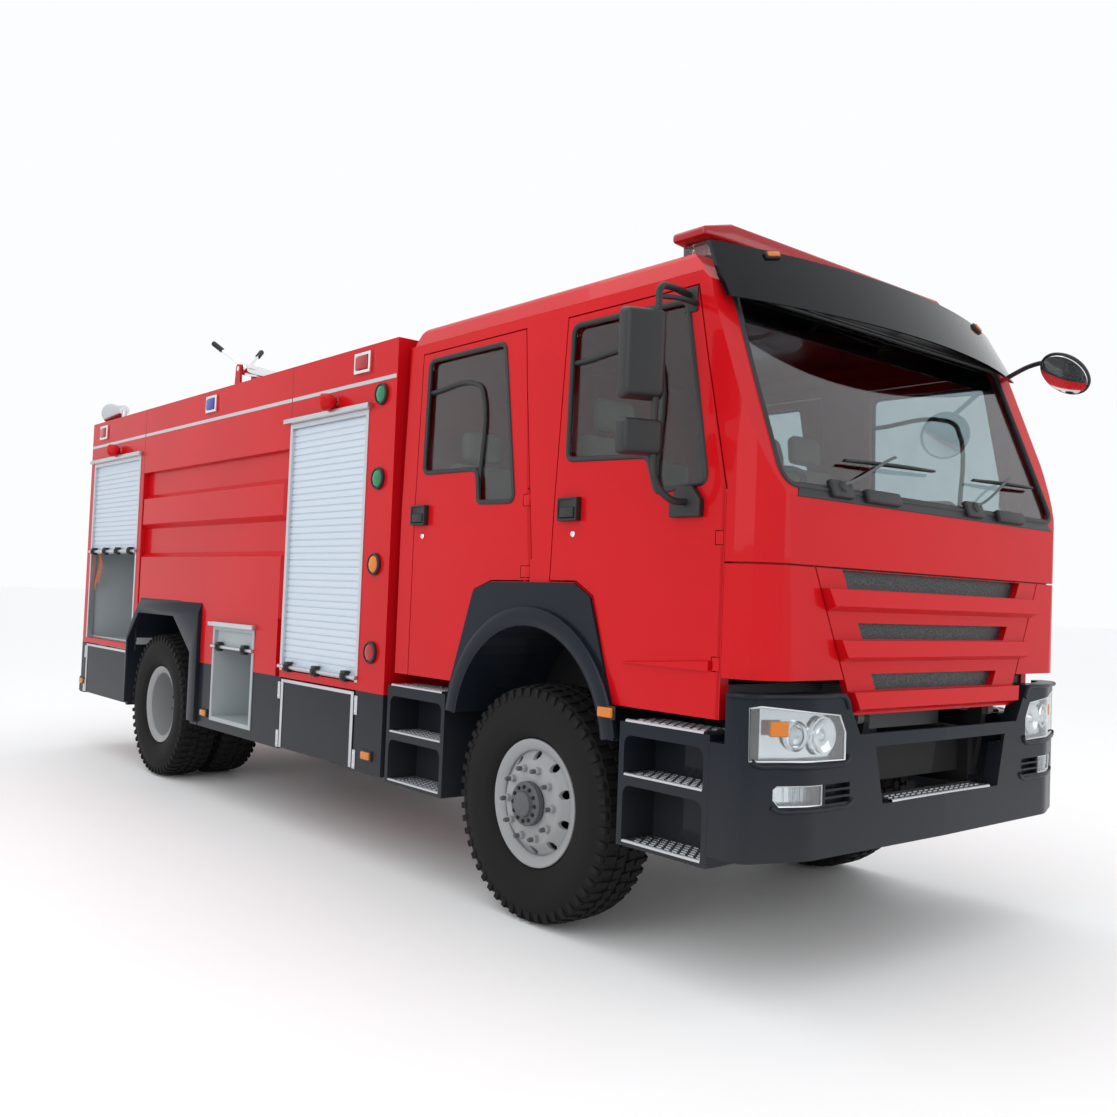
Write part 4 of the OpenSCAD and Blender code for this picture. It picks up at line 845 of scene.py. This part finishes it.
ROUND = ((2.662, green_lens), (2.176, green_lens), (1.685, amber_lens), (1.183, red_lens))
STROBES = ((1.62, 2.87, red_lens), (3.82, 2.865, blue_lens), (6.23, 2.865, red_lens))
TAILS = ((0.98, amber_lens), (1.08, red_lens))
lamp_family("round_lamps", [disc_lamp(on_body(0, 1.4, z), glass) for z, glass in ROUND])
lamp_family("strobe_lamps", [strobe(*place) for place in STROBES])
lamp_family("side_markers", [marker(y, 0.6) for y in (1.395, 3.7, 6.51)])
lamp_family("search_lamps", [search_lamp(y, 2.67) for y in (1.95, 5.82)])

# %% Horn and tail lamps
POST = [(0.05, 0), (0.05, 0.008), (0.022, 0.01), (0.022, 0.2)]
BELL = [(0.045, 0), (0.05, 0.08), (0.06, 0.17), (0.078, 0.27), (0.095, 0.34), (0.09, 0.34), (0.06, 0.22),
        (0.03, 0.1)]
horn = joined(turning(POST, at(-1.14, 6.09, 2.87), Z, mill_aluminium, 24),
              turning(BELL, at(-1.14, 6.09, 3.074), Y, mill_aluminium, 40))
fit(horn, "roof_horn", "chassis", ["lamps"])
lamp_family("tail_lamps", [disc_lamp(at(1.13, body_end, z), glass, Y) for z, glass in TAILS])

# %% [markdown]
# ## Trim of the body
# Drip gutters over the shutters, grab bars with black latches along their lower edge, a reflective
# band, sealed panel joints and bright edges on the flaps. Each is a short length of stock, cut and
# eased, so a block with broken edges is the honest way to make it.

# %% Shutter trim and band
BAR_OUT, BAR_MM = 0.012, 25
SHUTTER_BARS = [(1.57, 2.5, 1.026, 3), (5.3, 6.44, 1.786, 4), (2.955, 3.575, 1.092, 2)]
GUTTERS = [(1.5, 2.57, 2.592), (5.235, 6.5, 2.592), (2.9, 3.63, 1.236)]
BAND = [(1.262, 2.528), (2.545, 5.185), (5.205, 6.56)]
JOINTS = [2.53, 5.194]


def latch(y, z):
    case = slab(on_body(-0.01, y - 0.026, z - 0.03), on_body(0.03, y + 0.026, z + 0.034))
    worked(case, X, inset=0.012, pull=(0.012, 0, -0.004))
    return painted(eased(case, 4), black_abs)


def gutter(y0, y1, z):
    bar = slab(on_body(-0.004, y0, z), on_body(0.04, y1, z + 0.03))
    worked(bar, Z, inset=0.006, pull=(0, 0, -0.012))
    return painted(eased(bar, 3), mill_aluminium)


trim = []
for y0, y1, z, count in SHUTTER_BARS:
    trim.append(bright_bar(on_body(BAR_OUT, y0 - 0.03, z), on_body(BAR_OUT, y1 + 0.03, z), BAR_MM))
    trim += [latch(y0 + 0.1 + k * (y1 - y0 - 0.2) / (count - 1), z) for k in range(count)]
both(trim + [gutter(*run) for run in GUTTERS], "shutter_trim", "chassis")
band = [stock(on_body(SUNK, a, 2.74), on_body(0.0015, b, 2.764), mill_aluminium, 1, 1) for a, b in BAND]
both(band, "reflective_band", "chassis")
joints = [stock(on_body(SUNK, y, 0.96), on_body(0.0006, y + 0.006, 2.968), black_abs, 0.7, 1) for y in JOINTS]
both(joints, "joint_sealant", "chassis")

# %% Flap edges and hinges
FLAPS = (("front_flap", 1.57, 2.5), ("rear_flap", 5.355, 6.44))
FLAP_FOOT, FLAP_TOP, LEAF_OUT = 0.508, 0.945, 0.0045
SCREW = [(0.007, 0), (0.006, 0.003), (0.002, 0.004)]
for flap, y0, y1 in FLAPS:
    edges = [stock(on_body(SUNK, y, FLAP_FOOT), on_body(LEAF_OUT, y + 0.03, FLAP_TOP), mill_aluminium, 2)
             for y in (y0 + 0.002, y1 - 0.032)]
    lo, hi = on_body(SUNK, y0 + 0.03, FLAP_TOP - 0.02), on_body(0.003, y1 - 0.03, FLAP_TOP)
    edges.append(stock(lo, hi, mill_aluminium, 1.5))
    pair(joined(*edges), flap + "_edges_{}", flap + "_{}")
leaves = []
for y in (1.527, 2.508, 6.448):
    for z in (0.56, 0.87):
        lo, hi = on_body(SUNK, y, z - 0.055), on_body(LEAF_OUT, y + 0.034, z + 0.055)
        leaves.append(stock(lo, hi, mill_aluminium, 2))
        leaves += [turning(SCREW, on_body(LEAF_OUT, y + 0.017, z + rise), X, chrome_plate, 12)
                   for rise in (-0.035, 0.035)]
both(leaves, "flap_hinge_leaves", "chassis")

# %% Lining of the rear lockers
LINING = [((0.632, 5.282, 1.002), (0.636, 6.468, 2.64)), ((0.636, 5.282, 1.002), (1.208, 5.286, 2.64)),
          ((0.636, 6.464, 1.002), (1.208, 6.468, 2.64)), ((0.636, 5.286, 1.002), (1.208, 6.464, 1.007))]
lining = [stock(at(*lo), at(*hi), locker_paint, 1, 1) for lo, hi in LINING]
lining.append(pipe([(1.2, y, 1.015) for y in (5.29, 5.9, 6.46)], 18, mill_aluminium))
both(lining, "locker_lining", "chassis")

# %% [markdown]
# ## Treads
# The step plates are pressed aluminium with raised grips and a bright round nosing. One grip is
# pressed, an array makes a row of it, and the rows are staggered as on real treadplate.

# %% Grips and nosings
TREADS = [(-1.13, -0.69, (0.52, 0.8, 1.025)), (0.695, 1.185, (0.495, 0.76, 1.015))]
GRIP_LONG, GRIP_WIDE, GRIP_TALL = 0.028, 0.012, 0.005
GRIP_STEP, ROW_STEP = 0.044, 0.032
ALONG_X, ALONG_Y = 0, 1


def repeated(piece, count, step):
    pick(piece)
    row = piece.modifiers.new("row", "ARRAY")
    row.count, row.use_relative_offset, row.use_constant_offset = count, False, True
    row.constant_offset_displace = step
    bpy.ops.object.modifier_apply(modifier="row")
    return piece


def grips(lo, hi, z, along):
    across = 1 - along
    rows = []
    for k in range(int((hi[across] - lo[across]) / ROW_STEP)):
        shift = 0.012 + (k % 2) * GRIP_STEP / 2
        start, size, step = [0, 0, z - 0.001], [0, 0, GRIP_TALL], [0, 0, 0]
        start[along], start[across] = lo[along] + shift, lo[across] + 0.014 + k * ROW_STEP
        size[along], size[across], step[along] = GRIP_LONG, GRIP_WIDE, GRIP_STEP
        grip = slab(at(*start), at(*start) + Vector(size), 1.5, 1)
        rows.append(repeated(grip, int((hi[along] - lo[along] - shift) / GRIP_STEP), step))
    return coat(mill_aluminium, *rows)


plates = []
for y0, y1, heights in TREADS:
    for z in heights:
        plates += grips((1.06, y0), (1.222, y1), z + 0.009, ALONG_Y)
        plates.append(bright_bar(at(1.231, y0 - 0.002, z + 0.003), at(1.231, y1 + 0.002, z + 0.003), 19))
both(plates, "tread_grips", "chassis")
bumper_grips = grips((-0.39, -1.425), (0.39, -1.33), 0.744, ALONG_X)
bumper_grips.append(bright_bar(at(-0.4, -1.436, 0.738), at(0.4, -1.436, 0.738), 18))
fit(joined(*bumper_grips), "bumper_step_grips", "chassis")

# %% [markdown]
# ## Wheels
# A truck wheel is a rolled rim with a pressed, dished disc welded in. Ten hand holes are punched in the
# slope of the disc, and ten nuts clamp it to a dark cast hub. Rim, disc and hub are each drawn round from
# an outline, as they are made. One cutter, nut, stud or bolt is made and a spin repeats it, which keeps
# them evenly spaced.

# %% Parts of a wheel, along +Z
RIM_HALF = [(0.2568, 0.1035), (0.262, 0.1048), (0.29, 0.106), (0.3, 0.1085), (0.302, 0.1135), (0.3, 0.1185),
            (0.294, 0.12), (0.286, 0.1165), (0.258, 0.106), (0.248, 0.094)]
DISH = [(0.1, 0.0), (0.186, 0.0), (0.198, -0.005), (0.213, -0.021), (0.234, -0.042), (0.2498, -0.05),
        (0.2498, -0.064), (0.229, -0.056), (0.206, -0.034), (0.193, -0.019), (0.182, -0.014), (0.1, -0.014)]
HOLES, HOLE_CIRCLE, NUT_CIRCLE, CAP_BOLTS = 10, 0.2225, 0.167, 12


def bolt(r, radius, z, height, tip, steps=8):
    top = z + height
    shank = turned([(radius, z), (radius, z + height * 0.75), (radius * 0.7, top), (tip, top)], steps)
    shank.location.x = r
    return settle(shank)


def rim(middle):
    return painted(loop([(r, middle + z) for r, z in both_ways(RIM_HALF)], 72), wheel_paint)


def disc(face, way):
    dish = loop([(r, face + way * z) for r, z in DISH], 72)
    cutters = spun(bolt(HOLE_CIRCLE, 0.021, face - 0.12, 0.32, 0.012, 20), HOLES)
    holes = dish.modifiers.new("hand_holes", "BOOLEAN")
    holes.operation, holes.solver, holes.object = "DIFFERENCE", "EXACT", cutters
    pick(dish)
    bpy.ops.object.modifier_apply(modifier="hand_holes")
    bpy.data.objects.remove(cutters)
    return painted(dish, wheel_paint)


def fixings(face, z, cap_r):
    nuts = spun(bolt(NUT_CIRCLE, 0.018, z, 0.027, 0.011, 6), HOLES, math.pi / HOLES)
    studs = spun(bolt(NUT_CIRCLE, 0.0115, z + 0.02, 0.034, 0.006), HOLES, math.pi / HOLES)
    steps = [(cap_r + 0.012, -0.03), (cap_r + 0.012, -0.002), (cap_r + 0.006, 0.004), (0.062, 0.006),
             (0.058, 0.022), (0.045, 0.03), (0.012, 0.032)]
    flange = turned([(r, face + rise) for r, rise in steps])
    small = spun(bolt(cap_r - 0.012, 0.009, face + 0.003, 0.012, 0.004), CAP_BOLTS)
    return coat(wheel_paint, nuts) + coat(cast_grey, studs, flange) + coat(chassis_paint, small)


# %% Wheels on the hubs
FRONT = {"rims": [1.048], "discs": [(1.178, 1)], "fixings": (1.216, 1.178, 0.092),
         "drum": [(0.0455, 0.97), (0.205, 0.97), (0.205, 1.052), (0.19, 1.054), (0.13, 1.054), (0.128, 1.16),
                  (0.128, 1.166), (0.0455, 1.158)],
         "cap": [(0.092, 1.176), (0.092, 1.2), (0.09, 1.214), (0.05, 1.215)]}
REAR = {"rims": [1.082, 0.732], "discs": [(0.924, -1), (0.89, 1)], "fixings": (1.057, 0.924, 0.1),
        "drum": [(0.0505, 0.617), (0.205, 0.617), (0.205, 0.755), (0.19, 0.757), (0.13, 0.757), (0.128, 1.02),
                 (0.0505, 0.995)],
        "cap": [(0.128, 1.019), (0.126, 1.027), (0.1, 1.028), (0.1, 1.054), (0.05, 1.056)]}
WHEELS = (("wheel_front_", "front_wheel_", "rim_front_", FRONT),
          ("wheels_rear_", "rear_wheels_", "rims_rear_", REAR))
for side, sign in SIDES.items():
    for name, body, node, sizes in WHEELS:
        parts = [rim(middle) for middle in sizes["rims"]] + [disc(*place) for place in sizes["discs"]]
        parts += coat(chassis_paint, loop(sizes["drum"])) + coat(cast_grey, turned(sizes["cap"]))
        hub = centre(node + side)
        wheel = aimed(joined(*parts, *fixings(*sizes["fixings"])), (0, hub.y, hub.z), (sign, 0, 0))
        fit(wheel, name + side, body + side, [node + side])

# %% [markdown]
# ## Hinge covers
# A painted cover closes the pocket round each door hinge. It is fixed to the pillar, so it stays in the
# pocket when the door swings. Its outer edge is drawn in a little, as a pressed cover's is.

# %% Covers on the pillars
COVERS = ((-1.182, -1.142, 1.3), (-1.182, -1.142, 1.8), (0.028, 0.096, 1.655), (0.05, 0.096, 2.0))
HALF_COVER = 0.0275
covers = []
for y0, y1, z in COVERS:
    cover = slab(on_cab(-0.007, y0, z - HALF_COVER), at(door_skin(z) - 0.0005, y1, z + HALF_COVER))
    worked(cover, X, scale=(1, 0.96, 0.97))
    covers.append(painted(eased(cover, 1.5), red_enamel))
both(covers, "hinge_covers", "cab")

# %% [markdown]
# ## Light bar
# A long red dome over a black tray, on two feet, with a clear lamp under each end. The dome starts as a
# block. Its ends are drawn out and down, because the real moulding slopes away there.

# %% Light bar on the roof
TRAY_FRONT, TRAY_BACK = -0.8, -0.64


def across_tray(x, half, z0, z1, material, mm, segments=2):
    return stock(at(x - half, TRAY_FRONT, z0), at(x + half, TRAY_BACK, z1), material, mm, segments)


dome = slab(at(-0.84, -0.84, 3.142), at(0.84, -0.6, 3.225))
for sign in (-1, 1):
    worked(dome, sign * X, pull=(sign * 0.158, 0, -0.018), scale=(1, 0.82, 0.5))
bar = [painted(eased(dome, 16, 4), red_lens), across_tray(0, 0.8, 3.055, 3.144, black_abs, 8, 3)]
bar += [across_tray(x, 0.06, 3.0355, 3.06, black_abs, 5) for x in (-0.62, 0.62)]
bar += [across_tray(x, 0.09, 3.055, 3.066, black_abs, 3) for x in (-0.87, 0.87)]
bar += [across_tray(x, 0.068, 3.064, 3.14, clear_lens, 7, 3) for x in (-0.875, 0.875)]
bar += [stock(at(x - 0.05, -0.75, 3.075), at(x + 0.01, -0.69, 3.13), red_lens, 4) for x in (-0.85, 0.89)]
fit(joined(*bar), "roof_light_bar", "cab", ["light_bar"])

# %% [markdown]
# ## Seats
# Each seat is foam in a woven cover: a cushion and a back, crowned in the middle and drawn in between
# its corners. A block can't show that, so a rounded block is given an even skin and blown up a little
# as cloth, and no point may move more than 14 mm. One cushion, one back and one head rest are blown up,
# and the pads in the cab are copies of them.

# %% Seat pads
SKIN_CELL, SWELL, PUFF_STEPS = 0.012, 0.014, 20


def stuffed(lo, hi):
    pad = slab(lo, hi, 38, 4)
    skin = pad.modifiers.new("skin", "REMESH")
    skin.mode, skin.voxel_size = "VOXEL", SKIN_CELL
    bpy.ops.object.modifier_apply(modifier="skin")
    start = [v.co.copy() for v in pad.data.vertices]
    cloth = pad.modifiers.new("stuffing", "CLOTH")
    cloth.settings.use_pressure, cloth.settings.uniform_pressure_force = True, 4
    cloth.settings.effector_weights.gravity = 0
    for step in range(1, PUFF_STEPS + 1):
        bpy.context.scene.frame_set(step)
    bpy.ops.object.modifier_apply(modifier="stuffing")
    for vertex, old in zip(pad.data.vertices, start):
        move = vertex.co - old
        if move.length > SWELL:
            vertex.co = old + move.normalized() * SWELL
        vertex.co.z = max(vertex.co.z, lo[2])
    bpy.context.scene.frame_set(1)
    return painted(pad, seat_cloth)


cushion = stuffed((-0.235, -0.25, 0), (0.235, 0.25, 0.13))
back = stuffed((-0.23, -0.045, 0), (0.23, 0.045, 0.62))
rest = stuffed((-0.13, -0.04, 0), (0.13, 0.04, 0.17))
print("pads:", len(cushion.data.polygons), len(back.data.polygons), len(rest.data.polygons), "faces")

# %% Seats in the cab
BACK_LEAN, BACK_TALL, SEAT_Z = -0.1, 0.62, 1.635
ROWS = (("front", (-0.765, 0.765), -0.3, 1.0, 0.19, 1.0),
        ("rear", (-0.79, -0.265, 0.265, 0.79), 0.83, 0.62, 0.15, 0.88))


def shaped(pad, place, lean=0.0, stretch=(1, 1, 1)):
    other = copied(pad)
    form = Matrix.Rotation(lean, 4, "X") @ Matrix.Diagonal((*stretch, 1))
    other.matrix_world = Matrix.Translation(place) @ form
    return settle(other)


for row, spots, y, depth, behind, tall in ROWS:
    head_y, head_z = y + behind + 0.066 * tall, SEAT_Z + 0.11 + BACK_TALL * tall
    pads = [shaped(cushion, at(x, y, SEAT_Z), 0.0, (1, depth, 1)) for x in spots]
    pads += [shaped(back, at(x, y + behind, SEAT_Z + 0.1), BACK_LEAN, (1, 1, tall)) for x in spots]
    pads += [shaped(rest, at(x, head_y, head_z), BACK_LEAN) for x in spots]
    fit(joined(*pads), "seat_pads_" + row, "cab", ["seats"])
for pad in (cushion, back, rest):
    bpy.data.objects.remove(pad)
bases = [slab(at(x - 0.22, -0.54, 1.482), at(x + 0.22, -0.1, 1.634)) for x in (-0.765, 0.765)]
bases += [slab(at(-1.04, 0.69, 1.602), at(1.04, 1.03, 1.634))]
bases += [slab(at(x - 0.25, 0.7, 1.222), at(x + 0.25, 1.02, 1.606)) for x in (-0.785, 0.785)]
for base in bases:
    worked(base, Z, scale=(0.97, 0.95, 1))
    painted(eased(base, 9, 3), trim_grey)
fit(joined(*bases), "seat_bases", "cab", ["seats"])

# %% [markdown]
# ## Small lamps of the cab
# Each wheel flare carries an amber marker, and the visor has a small lamp near each end of its upper
# edge. The visor is a slanted band of a circle 3.8 m in radius, so the lamp is turned square to it there.

# %% Flare markers and visor lamps
VISOR_MIDDLE_Y, VISOR_LAMP_R, VISOR_LAMP_X = 2.5, 3.664, 0.84
both(marker(-0.584, 1.054), "flare_markers", "cab")
socket = stock((-0.042, -0.016, -0.006), (0.042, 0.016, 0.012), black_abs, 4)
glass = stock((-0.034, -0.011, 0.006), (0.034, 0.011, 0.02), amber_lens, 5, 3)
lamp_y = VISOR_MIDDLE_Y - math.sqrt(VISOR_LAMP_R ** 2 - VISOR_LAMP_X ** 2)
square = (VISOR_LAMP_X / VISOR_LAMP_R * 0.874, -0.85, 0.486)
lamp = aimed(joined(socket, glass), at(VISOR_LAMP_X, lamp_y, 3.03), square)
both([lamp], "visor_lamps", "cab")

# %% [markdown]
# ## Rear shutter, tank hatch and pull strap
# The rear shutter has the same bar and latches as the side ones, so they are made in the same place and
# turned to the rear. The hatch on the tank has a lifting handle and a wing nut on each clamp. An orange
# webbing strap hangs from the raised shutter, to pull it down by.

# %% Rear shutter bar
BAR_Z = 1.05
rear_bar = [bright_bar(on_body(BAR_OUT, -0.53, BAR_Z), on_body(BAR_OUT, 0.53, BAR_Z), BAR_MM)]
rear_bar = joined(*rear_bar, *[latch(y, BAR_Z) for y in (-0.4, 0, 0.4)])
quarter_turn = Matrix.Rotation(math.pi / 2, 4, "Z")
to_rear = Matrix.Translation(at(0, body_end, 0)) @ quarter_turn @ Matrix.Translation(-on_body(0, 0, 0))
rear_bar.matrix_world = to_rear
fit(settle(rear_bar), "rear_shutter_bar", "chassis")

# %% Hatch fittings
HATCH_Y, CLAMP_R = 3.865, 0.282
HATCH_HANDLE = ((-0.11, 2.978), (-0.1, 3.01), (-0.06, 3.03), (0.06, 3.03), (0.1, 3.01), (0.11, 2.978))
NUT = [(0.02, 0), (0.02, 0.012), (0.012, 0.018), (0.008, 0.04)]
fittings = [pipe([(x, HATCH_Y, z) for x, z in HATCH_HANDLE], 14, mill_aluminium)]
for angle in (30, 90, 150):
    x, y = CLAMP_R * math.cos(math.radians(angle)), CLAMP_R * math.sin(math.radians(angle))
    wing_nut = joined(turned(NUT, 16), slab((-0.032, -0.004, 0.008), (0.032, 0.004, 0.034), 2))
    fittings.append(painted(aimed(wing_nut, at(x, HATCH_Y + y, 2.95), Z), mill_aluminium))
fit(joined(*fittings), "hatch_fittings", "chassis")

# %% Pull strap
STRAP_TOP = 1.772


def strap(y, foot_z, sway):
    strip = slab(at(-1.206, y, foot_z), at(-1.2035, y + 0.026, STRAP_TOP))
    opened(strip)
    bpy.ops.mesh.subdivide(number_cuts=9)
    for vertex in shut(strip).data.vertices:
        fall = (STRAP_TOP - vertex.co.z) / (STRAP_TOP - foot_z)
        vertex.co.x += 0.016 * math.sin(fall * 5.0 + sway)
        vertex.co.y += 0.05 * sway * fall ** 2
    return painted(strip, orange_webbing)


fit(joined(strap(6.36, 1.44, 0.5), strap(6.33, 1.5, -0.4)), "pull_strap", "chassis")

# %% [markdown]
# ## Front mirror, painted visor shadow and arch plates
# A dished mirror on a bent tube lets the driver see the bumper. The head is turned from its outline and
# aimed down at the ground. The visor's shadow on the top of the screen is painted as a dark strip inside
# the glass, and a black trim covers the header above it. A plate closes the inner side of each front wheel
# arch.

# %% Front mirror
NECK = [(1.172, -1.0, 2.79), (1.19, -1.1, 2.845), (1.194, -1.19, 2.878), (1.172, -1.3, 2.882),
        (1.13, -1.395, 2.868), (1.1, -1.43, 2.835), (1.075, -1.446, 2.805)]
SHELL = [(0.13, 0.0), (0.134, 0.005), (0.134, 0.012), (0.122, 0.025), (0.09, 0.038), (0.04, 0.045),
         (0.01, 0.046)]
FACE = [(0.124, 0.001), (0.122, -0.004), (0.09, -0.01), (0.045, -0.014), (0.01, -0.015)]
place, axis = at(1.05, -1.44, 2.775), (0.66, -0.22, 0.72)
head = [turning(SHELL, place, axis, black_abs, 48), turning(FACE, place, axis, chrome_plate, 48)]
mirror = joined(pipe(NECK, 26, black_abs, 4), *head)
fit(mirror, "front_mirror_head", "cab", ["front_mirror"])

# %% Painted visor shadow and header trim
# A dark smoked sheet inside the glass: painted shadow of the visor on the top of the screen.
strip = worked(slab((-1.02, 0.79, -0.02), (1.02, 0.93, -0.0165)), Y, scale=(0.99, 1, 1))
header = worked(slab((-1.05, 0.93, -0.004), (1.05, 1.0, 0.004)), Z, scale=(0.995, 0.9, 1))
shade = joined(painted(eased(strip, 1), smoked_acrylic), painted(eased(header, 2), black_abs))
fit(on_glass(shade), "screen_header_trim", "cab")

# %% Plates inside the wheel arches
ARCH_R, ARCH_Z, ARCH_FOOT = 0.555, 0.845, 1.0


def arch(x, radius, degrees):
    turns = [math.radians(angle) for angle in degrees]
    return [at(x, radius * math.cos(turn), ARCH_Z + radius * math.sin(turn)) for turn in turns]


outline = [place for place in arch(0.692, ARCH_R + 0.02, range(0, 181, 6)) if place.z > ARCH_FOOT]
both(coat(black_abs, plate(outline, (0.006, 0, 0), 1.5)), "arch_plates", "cab")

# %% [markdown]
# ## Rolled edges of the bumper and the wheel flares
# The bumper is pressed, so its upper edge is rolled over, and a soft lip stands under each lamp. The wheel
# flares end in a half-round lip. A round section is swept along each line, and for the flares it is
# flattened, as a moulded lip is.

# %% Bumper edges
ROLLED = [(1.242, -1.258, 1.19), (1.243, -1.285, 1.19), (1.215, -1.339, 1.19), (1.1, -1.383, 1.19),
          (1.0, -1.42, 1.19), (0.9, -1.4365, 1.19), (0.77, -1.439, 1.19), (0.747, -1.4393, 1.182),
          (0.72, -1.4395, 1.14)]
UNDER_HEADLAMP = [(0.713, -1.4396, 0.952), (0.726, -1.4394, 0.928), (0.8, -1.4383, 0.919),
                  (0.9, -1.4368, 0.917), (1.0, -1.4205, 0.919), (1.1, -1.384, 0.924),
                  (1.185, -1.352, 0.93), (1.2, -1.346, 0.944)]
UNDER_FOGLAMP = [(0.682, -1.44, 0.776), (0.698, -1.4398, 0.756), (0.8, -1.4383, 0.748), (0.9, -1.4368, 0.747),
                 (1.0, -1.4205, 0.749), (1.09, -1.3877, 0.753), (1.118, -1.377, 0.767)]
edges = [pipe(line, 22, slate_enamel) for line in (ROLLED, UNDER_HEADLAMP)]
both(edges + [pipe(UNDER_FOGLAMP, 18, slate_enamel)], "bumper_edges", "chassis")

# %% Lips of the flares
LIP_MM, LIP_FLAT = 86, 0.3
lip = rod(arch(0, ARCH_R + 0.046, range(9, 172, 9)), LIP_MM, 5)
lip.scale.x, lip.location.x = LIP_FLAT, body_x
both([painted(settle(lip), slate_enamel)], "flare_lips", "cab")

# %% [markdown]
# ## Crease of the front doors
# Low on each front door a long crease starts at nothing and deepens towards the hinge, which stiffens the
# panel. It is a wedge laid on the skin, with its upper face tipped to the light.

# %% Door creases
CREASE = ((-1.134, 1.316), (-0.645, 1.279), (-1.134, 1.276))
crease = plate([on_cab(-0.0015, y, z) for y, z in CREASE], (0.014, 0, 0))
worked(crease, X, slide=(0, 0, -0.006))
pair(painted(crease, red_enamel), "crease_front_door_{}", "front_door_{}")

# %% [markdown]
# ## Rear arch trim and monitor grips
# A moulded frame stands proud of the body round each rear wheel. Its top is bevelled, so it catches the
# light. The outline is drawn flat and pulled out, and the top of the outer face is then lowered. The two
# handles of the water monitor have ribbed rubber grips, turned from their outline.

# %% Frames of the rear arches
FRAME = [(0.41, 1.393), (0.636, 1.092), (0.636, 0.52), (0.606, 0.52), (0.606, 1.042), (0.372, 1.277),
         (-0.382, 1.277), (-0.738, 1.022), (-0.738, 0.52), (-0.868, 0.52), (-0.868, 1.393)]
FRAME_DEPTH, TOP_BEVEL = 0.032, 0.07
rear_y = centre("rims_rear_right").y - axle_y
trim = plate([on_body(-0.0005, rear_y + y, z) for y, z in FRAME], (FRAME_DEPTH, 0, 0))
for vertex in trim.data.vertices:
    if vertex.co.x > body_x + 0.02 and vertex.co.z > 1.38:
        vertex.co.z -= TOP_BEVEL
both([painted(eased(trim, 2), slate_enamel)], "rear_arch_frames", "chassis")

# %% Grips of the monitor
GRIP = [(0.024, 0.0), (0.0255, 0.006), (0.0255, 0.03), (0.023, 0.036), (0.0255, 0.042), (0.0255, 0.066),
        (0.023, 0.072), (0.0255, 0.078), (0.0255, 0.11), (0.021, 0.122), (0.01, 0.125)]
HANDLE, HANDLE_FOOT, GRIP_START = Vector((0.255, 0.24, 0.257)), at(0, 6.08, 3.625), 0.72
grip = turning(GRIP, HANDLE_FOOT + HANDLE * GRIP_START, HANDLE, black_abs, 24)
both([grip], "monitor_grips", "monitor_barrel_body")
